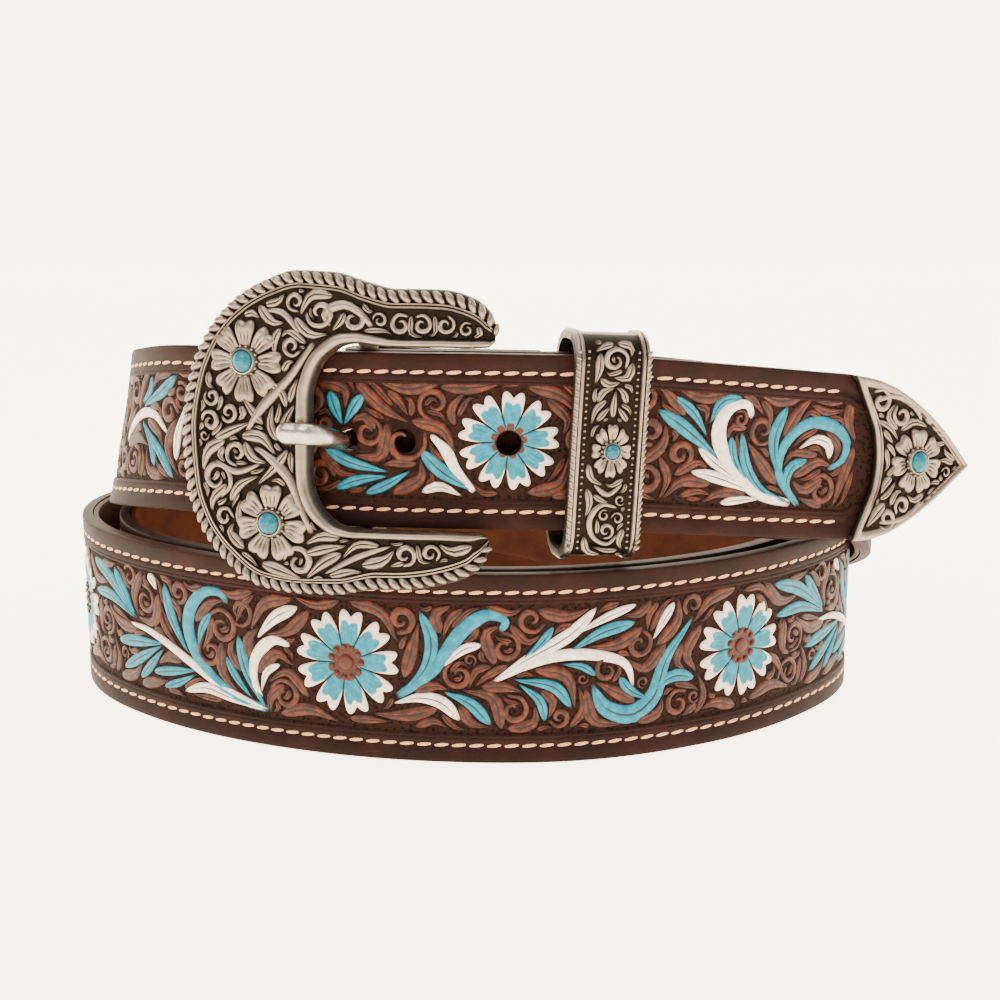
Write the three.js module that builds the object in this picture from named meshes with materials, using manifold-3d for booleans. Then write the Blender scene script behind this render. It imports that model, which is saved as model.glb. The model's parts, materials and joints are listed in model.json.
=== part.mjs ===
// Western tooled leather belt, coiled and buckled, standing on its lower edge.
// Millimetres. X runs to the right along the coil, Y away from the front, Z up.
// The strap makes three turns. It starts at the buckle's bar, sinks outside the coil at the
// right, lies as the lower outer and lower inner strands, rises at the back and comes round
// the left as the billet, which passes through the buckle frame and the keeper to its metal tip.

import * as THREE from 'three';
import { mergeVertices } from 'three/addons/utils/BufferGeometryUtils.js';
import Module from 'manifold-3d';

const wasm = await Module();
wasm.setup();

// Coil: the oval that the strands follow, seen from above
const COIL_HALF_WIDTH = 87.8;
const COIL_FRONT_DEPTH = 66;
const COIL_BACK_DEPTH = 56;
const COIL_SLEW_DEG = -6;
const STATIONS_PER_TURN = 60;

// Strap
const BELT_WIDTH = 38;
const BILLET_WIDTH = 33.8;
const LEATHER = 2.3;
const LINING = 1.1;
const BOND_GAP = 0.2;
const STRAP_GAP = 0.5;
const STRAP = LEATHER + BOND_GAP + LINING;
const PITCH = STRAP + STRAP_GAP;
const BORDER = 5.7;
const BORDER_STEP = 0.4;
const TOOLING_DEPTH = 0.5;
const EDGE_ROUND = 0.5;
const LINING_MARGIN = 0.25;

// Billet: distances along it from the hole that the prong is in
const HOLE_TURN = 2.972;
const HOLE_RADIUS = 2.4;
const HOLE_PLACES = [0, 11.4, 31.3];
const TAIL_LEAVES_TURN = 3.125;
const TAIL_TO_TIP = 101;
const STRAP_END_IN_TIP = 11;

// Buckle frame: along from its left end, up from its middle
const FRAME_LENGTH = 65.1;
const FRAME_HALF_HEIGHT = 31.2;
const FRAME_LEFT_REACH = 34.4;
const FRAME_RISE = 1.8;
const FRAME_CLEARANCE = 0.5;
const FRAME_TILT_DEG = 4;
const ROPE_WIDTH = 2.6;
const ROPE_HEIGHT = 3.5;
const LINE_RIM_WIDTH = 1.5;
const LINE_RIM_HEIGHT = 2.9;
const PANEL_HEIGHT = 2.3;
const INNER_RIM_WIDTH = 2.6;
const INNER_RIM_HEIGHT = 3.9;
const SECTIONS_PER_ROW = 2;

// Heel bar, its lugs and the prong
const BAR_OFFSET = 2;
const BAR_RADIUS = 2;
const BAR_CLEARANCE = 0.3;
const LUG_THICK = 2.8;
const LUG_WIDTH = 5;
const LUG_CLEARANCE = 0.7;
const PRONG_WIDTH = 4.3;
const PRONG_THICK = 3;
const PRONG_REACH = 10.8;
const PRONG_EYE_WALL = 1.6;
const FOLD_LENGTH = 34;
const FOLD_BENDS = 8;
const SLOT_CLEARANCE = 0.5;

// Keeper loop
const KEEPER_PLACE = 48.9;
const KEEPER_WIDTH = 14.8;
const KEEPER_HEIGHT = 43.2;
const KEEPER_METAL = 1.3;
const KEEPER_CLEARANCE = 1.3;
const KEEPER_RIM = 0.6;
const KEEPER_RIM_WIDTH = 1.9;
const KEEPER_RIM_SLOPE = 0.4;
const KEEPER_CORNER = 5.4;
const KEEPER_LEAN_DEG = -0.3;
const KEEPER_YAW_DEG = 4;
const KEEPER_DROP = 0.5;

// Tip
const TIP_LENGTH = 31.5;
const TIP_SKEW = 4.6;
const TIP_METAL = 1;
const TIP_CLEARANCE = 0.3;
const TIP_RIM = 0.7;
const TIP_RIM_WIDTH = 1.8;
const TIP_BEVEL = 0.35;

// Flowers and stones
const FLOWER_HEIGHT = 0.8;
const FRAME_FLOWER_RADIUS = 6.2;
const KEEPER_FLOWER_RADIUS = 4.1;
const TIP_FLOWER_RADIUS = 6.4;
const FRAME_STONE_RADIUS = 2.05;
const KEEPER_STONE_RADIUS = 1.4;
const TIP_STONE_RADIUS = 2.1;
const STONE_GAP = 0.15;
const FLOWER_PETALS = 8;
const FRAME_FLOWERS = [
  { name: 'stone_buckle_upper', along: -19.3, up: 13 },
  { name: 'stone_buckle_lower', along: -13.4, up: -17.8 },
];
const KEEPER_FLOWER_ALONG = 0.5;
const KEEPER_FLOWER_UP = -0.2;
const TIP_FLOWER_ALONG = 17;
const TIP_FLOWER_UP = 0.3;

const COLOURS = {
  leather: { color: 0x5a2a1c, roughness: 0.55, metalness: 0 },
  lining: { color: 0x6b3d20, roughness: 0.6, metalness: 0 },
  silver: { color: 0xa8a096, roughness: 0.38, metalness: 1 },
  turquoise: { color: 0x3fb7c4, roughness: 0.3, metalness: 0 },
};

// Strand table. turn: 0 is the front at the buckle, and each whole turn comes back to the
// front. inset: how far inside the oval the outer face lies, in strap pitches. rise: height
// of the lower edge as a share of the belt width. lean: degrees that the top leans inward.
// width: share of the way from billet width to belt width.
const STRANDS = [
  { turn: -0.1, inset: 2.1, rise: 1.21, lean: 0, width: 0 },
  { turn: 0.01, inset: 2.1, rise: 1.213, lean: 0, width: 0 },
  { turn: 0.047, inset: 1.95, rise: 1.205, lean: 0, width: 0 },
  { turn: 0.075, inset: 1.85, rise: 1.185, lean: 0, width: 0 },
  { turn: 0.105, inset: 1.6, rise: 1.14, lean: 0, width: 0 },
  { turn: 0.143, inset: 1.1, rise: 1.06, lean: 0, width: 0 },
  { turn: 0.171, inset: 0.35, rise: 1.017, lean: 0, width: 0 },
  { turn: 0.188, inset: -0.36, rise: 1.011, lean: 0, width: 0 },
  { turn: 0.205, inset: -0.85, rise: 0.957, lean: 0, width: 0 },
  { turn: 0.235, inset: -1.12, rise: 0.81, lean: 0, width: 0.1 },
  { turn: 0.27, inset: -1.15, rise: 0.66, lean: 0, width: 0.25 },
  { turn: 0.31, inset: -1, rise: 0.5, lean: 0, width: 0.5 },
  { turn: 0.36, inset: -0.75, rise: 0.31, lean: 0, width: 0.8 },
  { turn: 0.42, inset: -0.35, rise: 0.12, lean: 0, width: 1 },
  { turn: 0.5, inset: 0.15, rise: 0, lean: 0, width: 1 },
  { turn: 0.62, inset: 0.15, rise: 0, lean: 0, width: 1 },
  { turn: 0.75, inset: 0, rise: 0, lean: 0, width: 1 },
  { turn: 0.82, inset: 0.15, rise: 0, lean: 0, width: 1 },
  { turn: 0.87, inset: 0.45, rise: 0, lean: 0, width: 1 },
  { turn: 0.93, inset: 0.5, rise: 0, lean: 0, width: 1 },
  { turn: 1, inset: 0.25, rise: 0, lean: 0, width: 1 },
  { turn: 1.055, inset: 0.05, rise: 0, lean: 0, width: 1 },
  { turn: 1.11, inset: 0.42, rise: 0, lean: 0, width: 1 },
  { turn: 1.17, inset: 0.6, rise: 0, lean: 0, width: 1 },
  { turn: 1.25, inset: -0.05, rise: 0, lean: 0, width: 1 },
  { turn: 1.35, inset: 0.3, rise: 0, lean: 0, width: 1 },
  { turn: 1.5, inset: 1.3, rise: 0, lean: 0, width: 1 },
  { turn: 1.6, inset: 1.5, rise: 0, lean: 0, width: 1 },
  { turn: 1.7, inset: 1.85, rise: 0, lean: 0, width: 1 },
  { turn: 1.78, inset: 2.1, rise: 0, lean: 0, width: 1 },
  { turn: 1.85, inset: 1.7, rise: 0, lean: 0, width: 1 },
  { turn: 1.93, inset: 1.6, rise: 0, lean: 0, width: 1 },
  { turn: 2, inset: 1.35, rise: 0, lean: 0, width: 1 },
  { turn: 2.055, inset: 1.17, rise: 0, lean: 0, width: 1 },
  { turn: 2.11, inset: 1.6, rise: 0, lean: 0, width: 1 },
  { turn: 2.17, inset: 2.05, rise: 0, lean: 0, width: 1 },
  { turn: 2.25, inset: 2.2, rise: 0.06, lean: 0, width: 0.95 },
  { turn: 2.35, inset: 2.25, rise: 0.18, lean: 0, width: 0.7 },
  { turn: 2.5, inset: 2.5, rise: 0.46, lean: 2, width: 0.2 },
  { turn: 2.59, inset: 2.75, rise: 0.78, lean: 6, width: 0 },
  { turn: 2.655, inset: 2.95, rise: 0.995, lean: 10, width: 0 },
  { turn: 2.69, inset: 2.85, rise: 1.014, lean: 12, width: 0 },
  { turn: 2.73, inset: 2.2, rise: 1.016, lean: 13.5, width: 0 },
  { turn: 2.77, inset: 1.6, rise: 1.025, lean: 14, width: 0 },
  { turn: 2.81, inset: 1.5, rise: 1.085, lean: 12, width: 0 },
  { turn: 2.851, inset: 1.45, rise: 1.145, lean: 8, width: 0 },
  { turn: 2.9, inset: 1.2, rise: 1.2, lean: 4, width: 0 },
  { turn: 2.95, inset: 1, rise: 1.21, lean: 1.5, width: 0 },
  { turn: 3.01, inset: 0.95, rise: 1.213, lean: 0, width: 0 },
  { turn: 3.047, inset: 0.8, rise: 1.205, lean: 0, width: 0 },
  { turn: 3.075, inset: 0.7, rise: 1.185, lean: 0, width: 0 },
  { turn: 3.105, inset: 0.45, rise: 1.145, lean: 0, width: 0 },
  { turn: 3.135, inset: 0.1, rise: 1.1, lean: 0, width: 0 },
];

// Frame table, from the end of the upper arm round the left to the end of the lower arm.
// outerAlong and innerAlong: share of the frame's length from its left end. outerUp and
// innerUp: share of its half height, up from its middle.
const FRAME_SECTIONS = [
  { outerAlong: 0.997, outerUp: 0.65, innerAlong: 0.991, innerUp: 0.6 },
  { outerAlong: 0.982, outerUp: 0.73, innerAlong: 0.966, innerUp: 0.565 },
  { outerAlong: 0.937, outerUp: 0.815, innerAlong: 0.915, innerUp: 0.562 },
  { outerAlong: 0.846, outerUp: 0.87, innerAlong: 0.825, innerUp: 0.565 },
  { outerAlong: 0.774, outerUp: 0.875, innerAlong: 0.749, innerUp: 0.565 },
  { outerAlong: 0.702, outerUp: 0.875, innerAlong: 0.682, innerUp: 0.565 },
  { outerAlong: 0.609, outerUp: 0.917, innerAlong: 0.611, innerUp: 0.565 },
  { outerAlong: 0.51, outerUp: 0.971, innerAlong: 0.559, innerUp: 0.545 },
  { outerAlong: 0.393, outerUp: 0.978, innerAlong: 0.51, innerUp: 0.487 },
  { outerAlong: 0.275, outerUp: 0.904, innerAlong: 0.473, innerUp: 0.41 },
  { outerAlong: 0.168, outerUp: 0.77, innerAlong: 0.45, innerUp: 0.3 },
  { outerAlong: 0.081, outerUp: 0.57, innerAlong: 0.441, innerUp: 0.2 },
  { outerAlong: 0.024, outerUp: 0.305, innerAlong: 0.441, innerUp: 0.09 },
  { outerAlong: 0, outerUp: 0, innerAlong: 0.441, innerUp: -0.02 },
  { outerAlong: 0.018, outerUp: -0.365, innerAlong: 0.441, innerUp: -0.14 },
  { outerAlong: 0.066, outerUp: -0.62, innerAlong: 0.442, innerUp: -0.26 },
  { outerAlong: 0.159, outerUp: -0.833, innerAlong: 0.456, innerUp: -0.385 },
  { outerAlong: 0.268, outerUp: -0.968, innerAlong: 0.489, innerUp: -0.494 },
  { outerAlong: 0.393, outerUp: -1, innerAlong: 0.539, innerUp: -0.564 },
  { outerAlong: 0.51, outerUp: -0.992, innerAlong: 0.592, innerUp: -0.583 },
  { outerAlong: 0.644, outerUp: -0.926, innerAlong: 0.658, innerUp: -0.583 },
  { outerAlong: 0.748, outerUp: -0.907, innerAlong: 0.733, innerUp: -0.583 },
  { outerAlong: 0.839, outerUp: -0.894, innerAlong: 0.809, innerUp: -0.583 },
  { outerAlong: 0.914, outerUp: -0.856, innerAlong: 0.892, innerUp: -0.587 },
  { outerAlong: 0.961, outerUp: -0.756, innerAlong: 0.939, innerUp: -0.59 },
  { outerAlong: 0.974, outerUp: -0.66, innerAlong: 0.965, innerUp: -0.61 },
];

// Fold table, from the free end to the bar. along: share of the fold's length. sunk: share of
// the way from lying flat behind the strap to the back of the bar.
const FOLD_SECTIONS = [
  { along: 1, sunk: 0 },
  { along: 0.75, sunk: 0 },
  { along: 0.5, sunk: 0 },
  { along: 0.38, sunk: 0.11 },
  { along: 0.24, sunk: 0.45 },
  { along: 0.12, sunk: 0.82 },
];

// Tip table. along: share of the tip's length from its base corners. half: half height as a
// share of the billet's half width. base: where the concave base edge lies, as a share of
// the tip's length, at that share of the half height.
const TIP_OUTLINE = [
  { along: 0, half: 1 },
  { along: 0.12, half: 0.985 },
  { along: 0.3, half: 0.91 },
  { along: 0.48, half: 0.76 },
  { along: 0.65, half: 0.57 },
  { along: 0.8, half: 0.36 },
  { along: 0.92, half: 0.16 },
  { along: 1, half: 0.03 },
];
const TIP_BASE = [
  { up: -1, back: 0 },
  { up: -0.84, back: 0.04 },
  { up: -0.62, back: 0.1 },
  { up: -0.32, back: 0.17 },
  { up: 0, back: 0.19 },
  { up: 0.32, back: 0.17 },
  { up: 0.62, back: 0.1 },
  { up: 0.84, back: 0.04 },
  { up: 1, back: 0 },
];

const rad = THREE.MathUtils.degToRad;

// Smooth value of one column of a table, through every row. It doesn't overshoot unless it
// may swing freely, which bends more evenly.
function blend(table, key, at, column, free = false) {
  const last = table.length - 1;
  const step = (i) => table[i + 1][key] - table[i][key];
  const slope = (i) => (table[i + 1][column] - table[i][column]) / step(i);
  const tangent = (i) => {
    if (i === 0) return slope(0);
    if (i === last) return slope(last - 1);
    if (free) return (slope(i - 1) * step(i) + slope(i) * step(i - 1)) / (step(i) + step(i - 1));
    if (slope(i - 1) * slope(i) <= 0) return 0;
    const before = 2 * step(i) + step(i - 1);
    const after = step(i) + 2 * step(i - 1);
    return (before + after) / (before / slope(i - 1) + after / slope(i));
  };
  let i = 0;
  while (i < last - 1 && at >= table[i + 1][key]) i += 1;
  const h = step(i);
  const t = (at - table[i][key]) / h;
  const t2 = t * t;
  const t3 = t2 * t;
  return (2 * t3 - 3 * t2 + 1) * table[i][column] + (t3 - 2 * t2 + t) * h * tangent(i)
    + (3 * t2 - 2 * t3) * table[i + 1][column] + (t3 - t2) * h * tangent(i + 1);
}

// Point of the oval at a turn, in plan
function oval(turn) {
  const angle = 2 * Math.PI * turn - Math.PI / 2;
  const depth = Math.sin(angle) < 0 ? COIL_FRONT_DEPTH : COIL_BACK_DEPTH;
  const point = new THREE.Vector2(COIL_HALF_WIDTH * Math.cos(angle), depth * Math.sin(angle));
  return point.rotateAround(new THREE.Vector2(0, 0), rad(COIL_SLEW_DEG));
}

// Point at a turn, moved out of the oval by a distance
function ovalOffset(turn, out) {
  const nudge = 1e-4;
  const ahead = oval(turn + nudge).sub(oval(turn - nudge)).normalize();
  return oval(turn).add(new THREE.Vector2(ahead.y, -ahead.x).multiplyScalar(out));
}

// Turn that lies a distance further along the oval's line that is moved out by a distance
function ovalTurnAfter(turn, distance, out) {
  const step = Math.sign(distance) / (STATIONS_PER_TURN * 8);
  let walked = 0;
  let at = turn;
  while (walked < Math.abs(distance)) {
    const length = ovalOffset(at, out).distanceTo(ovalOffset(at + step, out));
    if (walked + length >= Math.abs(distance)) {
      return at + step * (Math.abs(distance) - walked) / length;
    }
    walked += length;
    at += step;
  }
  return at;
}

// Lower outer edge of the strap at a turn on the oval
function edgePoint(turn) {
  const plan = ovalOffset(turn, -blend(STRANDS, 'turn', turn, 'inset', true) * PITCH);
  return new THREE.Vector3(plan.x, plan.y, blend(STRANDS, 'turn', turn, 'rise') * BELT_WIDTH);
}

// Place, forward, outward and up directions of the strap at a turn. Past the turn where the
// tail leaves the oval, it goes straight on.
function strapFrame(turn) {
  const onOval = Math.min(turn, TAIL_LEAVES_TURN);
  const nudge = 1e-3;
  const speed = edgePoint(onOval).sub(edgePoint(onOval - nudge)).divideScalar(nudge);
  const forward = speed.clone().normalize();
  const place = edgePoint(onOval).addScaledVector(speed, turn - onOval);
  const flat = new THREE.Vector3(forward.y, -forward.x, 0).normalize();
  const upright = new THREE.Vector3().crossVectors(flat, forward).normalize();
  const lean = rad(blend(STRANDS, 'turn', onOval, 'lean'));
  const up = upright.clone().multiplyScalar(Math.cos(lean)).addScaledVector(flat, -Math.sin(lean));
  const out = flat.clone().multiplyScalar(Math.cos(lean)).addScaledVector(upright, Math.sin(lean));
  const width = THREE.MathUtils.lerp(
    BILLET_WIDTH, BELT_WIDTH, blend(STRANDS, 'turn', onOval, 'width'));
  return { place, forward, up, out, width };
}

// Turn that lies a distance further along the strap
function turnAfter(turn, distance) {
  const step = Math.sign(distance) / (STATIONS_PER_TURN * 8);
  let walked = 0;
  let at = turn;
  while (walked < Math.abs(distance)) {
    const length = strapFrame(at).place.distanceTo(strapFrame(at + step).place);
    if (walked + length >= Math.abs(distance)) {
      return at + step * (Math.abs(distance) - walked) / length;
    }
    walked += length;
    at += step;
  }
  return at;
}

// Point in a strap frame: along it, up from the middle of the width, out of the outer face
function inFrame(frame, along, up, out) {
  return frame.place.clone()
    .addScaledVector(frame.forward, along)
    .addScaledVector(frame.up, up + frame.width / 2)
    .addScaledVector(frame.out, out);
}

// Closed mesh from rings of points, with its two end rings filled unless the rings close
function skin(rings, closed = false) {
  const count = rings[0].length;
  const points = rings.flat();
  const faces = [];
  const spans = closed ? rings.length : rings.length - 1;
  for (let r = 0; r < spans; r += 1) {
    const here = r * count;
    const next = ((r + 1) % rings.length) * count;
    for (let i = 0; i < count; i += 1) {
      const j = (i + 1) % count;
      faces.push([here + i, here + j, next + j], [here + i, next + j, next + i]);
    }
  }
  if (!closed) {
    faces.push(...fillRing(rings[0], 0, true));
    faces.push(...fillRing(rings[rings.length - 1], (rings.length - 1) * count, false));
  }
  return outwardMesh(points, faces);
}

// Triangles that fill one ring of points lying roughly in a plane
function fillRing(ring, first, flip) {
  const centre = ring.reduce((sum, p) => sum.add(p), new THREE.Vector3()).divideScalar(ring.length);
  const normal = new THREE.Vector3();
  ring.forEach((p, i) => {
    const q = ring[(i + 1) % ring.length];
    normal.add(p.clone().sub(centre).cross(q.clone().sub(centre)));
  });
  const turnFlat = new THREE.Quaternion().setFromUnitVectors(
    normal.normalize(), new THREE.Vector3(0, 0, 1));
  const flat = ring.map((p) => p.clone().sub(centre).applyQuaternion(turnFlat));
  const outline = flat.map((p) => new THREE.Vector2(p.x, p.y));
  return THREE.ShapeUtils.triangulateShape(outline, [])
    .map(([a, b, c]) => (flip ? [first + c, first + b, first + a] : [first + a, first + b, first + c]));
}

// Geometry of points and faces, turned so that its faces point out
function outwardMesh(points, faces) {
  const volume = faces.reduce((sum, [a, b, c]) => (
    sum + points[a].dot(points[b].clone().cross(points[c]))), 0);
  const order = volume < 0 ? faces.map(([a, b, c]) => [a, c, b]) : faces;
  const geometry = new THREE.BufferGeometry();
  geometry.setAttribute('position', new THREE.Float32BufferAttribute(
    points.flatMap((p) => [p.x, p.y, p.z]), 3));
  geometry.setIndex(order.flat());
  return geometry;
}

// Solid of a closed geometry, for joining and cutting
function solid(geometry) {
  const bare = geometry.clone();
  bare.deleteAttribute('normal');
  bare.deleteAttribute('uv');
  const merged = mergeVertices(bare, 1e-4);
  return new wasm.Manifold(new wasm.Mesh({
    numProp: 3,
    vertProperties: new Float32Array(merged.attributes.position.array),
    triVerts: new Uint32Array(merged.index.array),
  }));
}

// Geometry of a solid
function fromSolid(body) {
  const mesh = body.getMesh();
  const geometry = new THREE.BufferGeometry();
  geometry.setAttribute('position', new THREE.BufferAttribute(mesh.vertProperties, 3));
  geometry.setIndex(new THREE.BufferAttribute(mesh.triVerts, 1));
  return geometry;
}

// Matrix that stands a shape drawn with Z out of the strap, X along it and Y up it
function onStrap(frame, along, up, out) {
  const matrix = new THREE.Matrix4().makeBasis(frame.forward, frame.up, frame.out);
  return matrix.setPosition(inFrame(frame, along, up, out));
}

// Turns that the strap's sections stand at between two turns, in step from turn to turn
function stations(from, to) {
  const turns = [from];
  const first = Math.floor(from * STATIONS_PER_TURN + 1e-6) + 1;
  for (let i = first; i / STATIONS_PER_TURN < to - 1e-6; i += 1) turns.push(i / STATIONS_PER_TURN);
  turns.push(to);
  return turns;
}

// Section of the tooled leather: smooth raised borders and a lower tooled panel
function leatherSection(frame, width = frame.width) {
  const half = width / 2;
  const inner = Math.max(half - BORDER, half * 0.4);
  const outline = [
    [-half, -LEATHER], [-half, -EDGE_ROUND], [-half + EDGE_ROUND, 0], [-inner, 0],
    [-inner + BORDER_STEP, -TOOLING_DEPTH], [inner - BORDER_STEP, -TOOLING_DEPTH],
    [inner, 0], [half - EDGE_ROUND, 0], [half, -EDGE_ROUND], [half, -LEATHER],
  ];
  return outline.map(([up, out]) => inFrame(frame, 0, up, out));
}

// Section of the smooth lining behind the leather
function liningSection(frame) {
  const half = frame.width / 2 - LINING_MARGIN;
  const face = -LEATHER - BOND_GAP;
  return [[half, face], [-half, face], [-half, -STRAP], [half, -STRAP]]
    .map(([up, out]) => inFrame(frame, 0, up, out));
}

const holeFrame = strapFrame(HOLE_TURN);
const barTurn = turnAfter(HOLE_TURN, BAR_OFFSET) - 3;
const barFrame = strapFrame(barTurn);
const foldRadius = BAR_RADIUS + BAR_CLEARANCE;
const barDepth = LEATHER + foldRadius;
const tipTurn = turnAfter(HOLE_TURN, TAIL_TO_TIP);
const tipFrame = strapFrame(tipTurn);

// Sections of the end that is folded round the bar and laid back behind the strap
function foldSections() {
  const rings = [];
  const back = LEATHER + BOND_GAP;
  const fold = new THREE.Vector3(0, 0, -1);
  for (const { along, sunk } of FOLD_SECTIONS) {
    const frame = strapFrame(turnAfter(barTurn, along * FOLD_LENGTH));
    const inner = THREE.MathUtils.lerp(back, barDepth + foldRadius, sunk);
    rings.push(strip(frame, 0, -inner, fold));
  }
  for (let i = 0; i < FOLD_BENDS; i += 1) {
    const angle = Math.PI * i / FOLD_BENDS;
    const facing = new THREE.Vector3(-Math.sin(angle), 0, -Math.cos(angle));
    rings.push(strip(barFrame, foldRadius * facing.x, -barDepth + foldRadius * facing.z, facing));
  }
  return rings;
}

// Section of plain leather whose inner face passes a point, with its outer face along facing
function strip(frame, along, out, facing) {
  const half = frame.width / 2;
  const outline = [
    [-half, 0], [-half, LEATHER - EDGE_ROUND], [-half + EDGE_ROUND, LEATHER],
    [-half + BORDER, LEATHER], [-half + BORDER + BORDER_STEP, LEATHER - TOOLING_DEPTH],
    [half - BORDER - BORDER_STEP, LEATHER - TOOLING_DEPTH], [half - BORDER, LEATHER],
    [half - EDGE_ROUND, LEATHER], [half, LEATHER - EDGE_ROUND], [half, 0],
  ];
  return outline.map(([up, rise]) => (
    inFrame(frame, along + facing.x * rise, up, out + facing.z * rise)));
}

// Half height of the tip at a distance from its base corners
function tipHalfHeight(along) {
  return blend(TIP_OUTLINE, 'along', along / TIP_LENGTH, 'half') * BILLET_WIDTH / 2;
}

// How much further along a point of the tip lies because its lower corner is cut later
function tipSkew(along, up) {
  return TIP_SKEW * (0.5 - up / BILLET_WIDTH) * (1 - along / TIP_LENGTH);
}

// Points of a strap section, moved along by the skew of the tip that they stand in
function skewed(frame, section, along) {
  return section.map((p) => {
    const up = p.clone().sub(frame.place).dot(frame.up) - frame.width / 2;
    return p.addScaledVector(frame.forward, tipSkew(along, up));
  });
}

function makeStrap() {
  const rings = foldSections();
  for (const turn of stations(barTurn, TAIL_LEAVES_TURN)) rings.push(leatherSection(strapFrame(turn)));
  rings.push(skewed(tipFrame, leatherSection(tipFrame), 0));
  const wall = TIP_METAL + TIP_CLEARANCE;
  for (const along of [TIP_CLEARANCE, STRAP_END_IN_TIP / 2, STRAP_END_IN_TIP]) {
    const frame = strapFrame(turnAfter(tipTurn, along));
    rings.push(skewed(frame, leatherSection(frame, 2 * (tipHalfHeight(along) - wall)), along));
  }
  let body = solid(skin(rings));
  for (const place of HOLE_PLACES) {
    const frame = strapFrame(turnAfter(HOLE_TURN, place));
    const drill = new THREE.CylinderGeometry(HOLE_RADIUS, HOLE_RADIUS, STRAP * 1.5, 16);
    drill.rotateX(Math.PI / 2);
    body = body.subtract(solid(drill.applyMatrix4(onStrap(frame, 0, 0, -STRAP / 2))));
  }
  return fromSolid(body.subtract(prongSlot()));
}

// Room for the prong's eye where the folded end goes round the bar
function prongSlot() {
  const reach = foldRadius + LEATHER + 2 * SLOT_CLEARANCE;
  const high = PRONG_WIDTH + 2 * SLOT_CLEARANCE;
  const wide = reach + foldRadius + PRONG_EYE_WALL + SLOT_CLEARANCE;
  const deep = 2 * (foldRadius + LEATHER + SLOT_CLEARANCE);
  const box = new THREE.BoxGeometry(wide, high, deep);
  return solid(box.applyMatrix4(onStrap(barFrame, wide / 2 - reach, 0, -barDepth)));
}

function makeLining() {
  const start = turnAfter(barTurn, FOLD_LENGTH + 2 * BAR_CLEARANCE);
  const rings = stations(start, TAIL_LEAVES_TURN).map((turn) => liningSection(strapFrame(turn)));
  const end = strapFrame(turnAfter(tipTurn, -TIP_CLEARANCE));
  rings.push(skewed(end, liningSection(end), 0));
  let body = solid(skin(rings));
  for (const place of HOLE_PLACES) {
    const frame = strapFrame(turnAfter(HOLE_TURN, place));
    const drill = new THREE.CylinderGeometry(HOLE_RADIUS, HOLE_RADIUS, STRAP * 1.5, 16);
    drill.rotateX(Math.PI / 2);
    body = body.subtract(solid(drill.applyMatrix4(onStrap(frame, 0, 0, -STRAP / 2))));
  }
  return fromSolid(body);
}

const FRAME_OPENING_AT = FRAME_SECTIONS[12].innerAlong * FRAME_LENGTH - FRAME_LEFT_REACH;
const frameMiddle = inFrame(holeFrame, 0, FRAME_RISE, 0).z;

// Point of the curved, slightly tilted buckle: along from the prong hole, up from its
// middle, out of its back face
function onBuckle(along, up, out) {
  const turn = ovalTurnAfter(HOLE_TURN, along, FRAME_CLEARANCE);
  const tilt = rad(FRAME_TILT_DEG);
  const raised = up + FRAME_HALF_HEIGHT;
  const away = FRAME_CLEARANCE - raised * Math.sin(tilt) + out * Math.cos(tilt);
  const plan = ovalOffset(turn, away);
  return new THREE.Vector3(plan.x, plan.y, frameMiddle + up * Math.cos(tilt) + out * Math.sin(tilt));
}

// Frame of directions on the buckle's face, like a strap frame with no width
function buckleFrame(along, up, out) {
  const place = onBuckle(along, up, out);
  const forward = onBuckle(along + 0.5, up, out).sub(onBuckle(along - 0.5, up, out)).normalize();
  const rise = onBuckle(along, up + 0.5, out).sub(onBuckle(along, up - 0.5, out)).normalize();
  return { place, forward, up: rise, out: new THREE.Vector3().crossVectors(forward, rise), width: 0 };
}

// Smooth rows between the rows of the frame table
function frameRows() {
  const columns = ['outerAlong', 'outerUp', 'innerAlong', 'innerUp'];
  const table = FRAME_SECTIONS.map((row, index) => ({ ...row, index }));
  const rows = [];
  for (let i = 0; i <= (table.length - 1) * SECTIONS_PER_ROW; i += 1) {
    const at = i / SECTIONS_PER_ROW;
    rows.push(Object.fromEntries(columns.map((c) => [c, blend(table, 'index', at, c)])));
  }
  return rows;
}

// Section across the buckle frame: rope edge, line rim, panel and smooth inner rim
function buckleSection(row) {
  const outer = new THREE.Vector2(
    row.outerAlong * FRAME_LENGTH - FRAME_LEFT_REACH, row.outerUp * FRAME_HALF_HEIGHT);
  const inner = new THREE.Vector2(
    row.innerAlong * FRAME_LENGTH - FRAME_LEFT_REACH, row.innerUp * FRAME_HALF_HEIGHT);
  const width = outer.distanceTo(inner);
  const rims = ROPE_WIDTH + LINE_RIM_WIDTH + INNER_RIM_WIDTH;
  const fit = Math.min(1, width / (rims + 1));
  const tall = Math.min(1, 0.45 + width / 12);
  const rope = ROPE_WIDTH * fit;
  const line = rope + LINE_RIM_WIDTH * fit;
  const rim = width - INNER_RIM_WIDTH * fit;
  const profile = [
    [0, 0], [0, ROPE_HEIGHT * 0.35], [rope * 0.12, ROPE_HEIGHT * 0.75], [rope / 2, ROPE_HEIGHT],
    [rope * 0.9, ROPE_HEIGHT * 0.78], [rope, PANEL_HEIGHT], [(rope + line) / 2, LINE_RIM_HEIGHT],
    [line, PANEL_HEIGHT], [rim - 0.1 * fit, PANEL_HEIGHT],
    [rim + INNER_RIM_WIDTH * fit * 0.2, INNER_RIM_HEIGHT * 0.86],
    [rim + INNER_RIM_WIDTH * fit * 0.5, INNER_RIM_HEIGHT],
    [rim + INNER_RIM_WIDTH * fit * 0.85, INNER_RIM_HEIGHT * 0.8],
    [width, INNER_RIM_HEIGHT * 0.4], [width, 0],
  ];
  return profile.map(([across, height]) => {
    const at = outer.clone().lerp(inner, across / width);
    return onBuckle(at.x, at.y, height * tall);
  });
}

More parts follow.
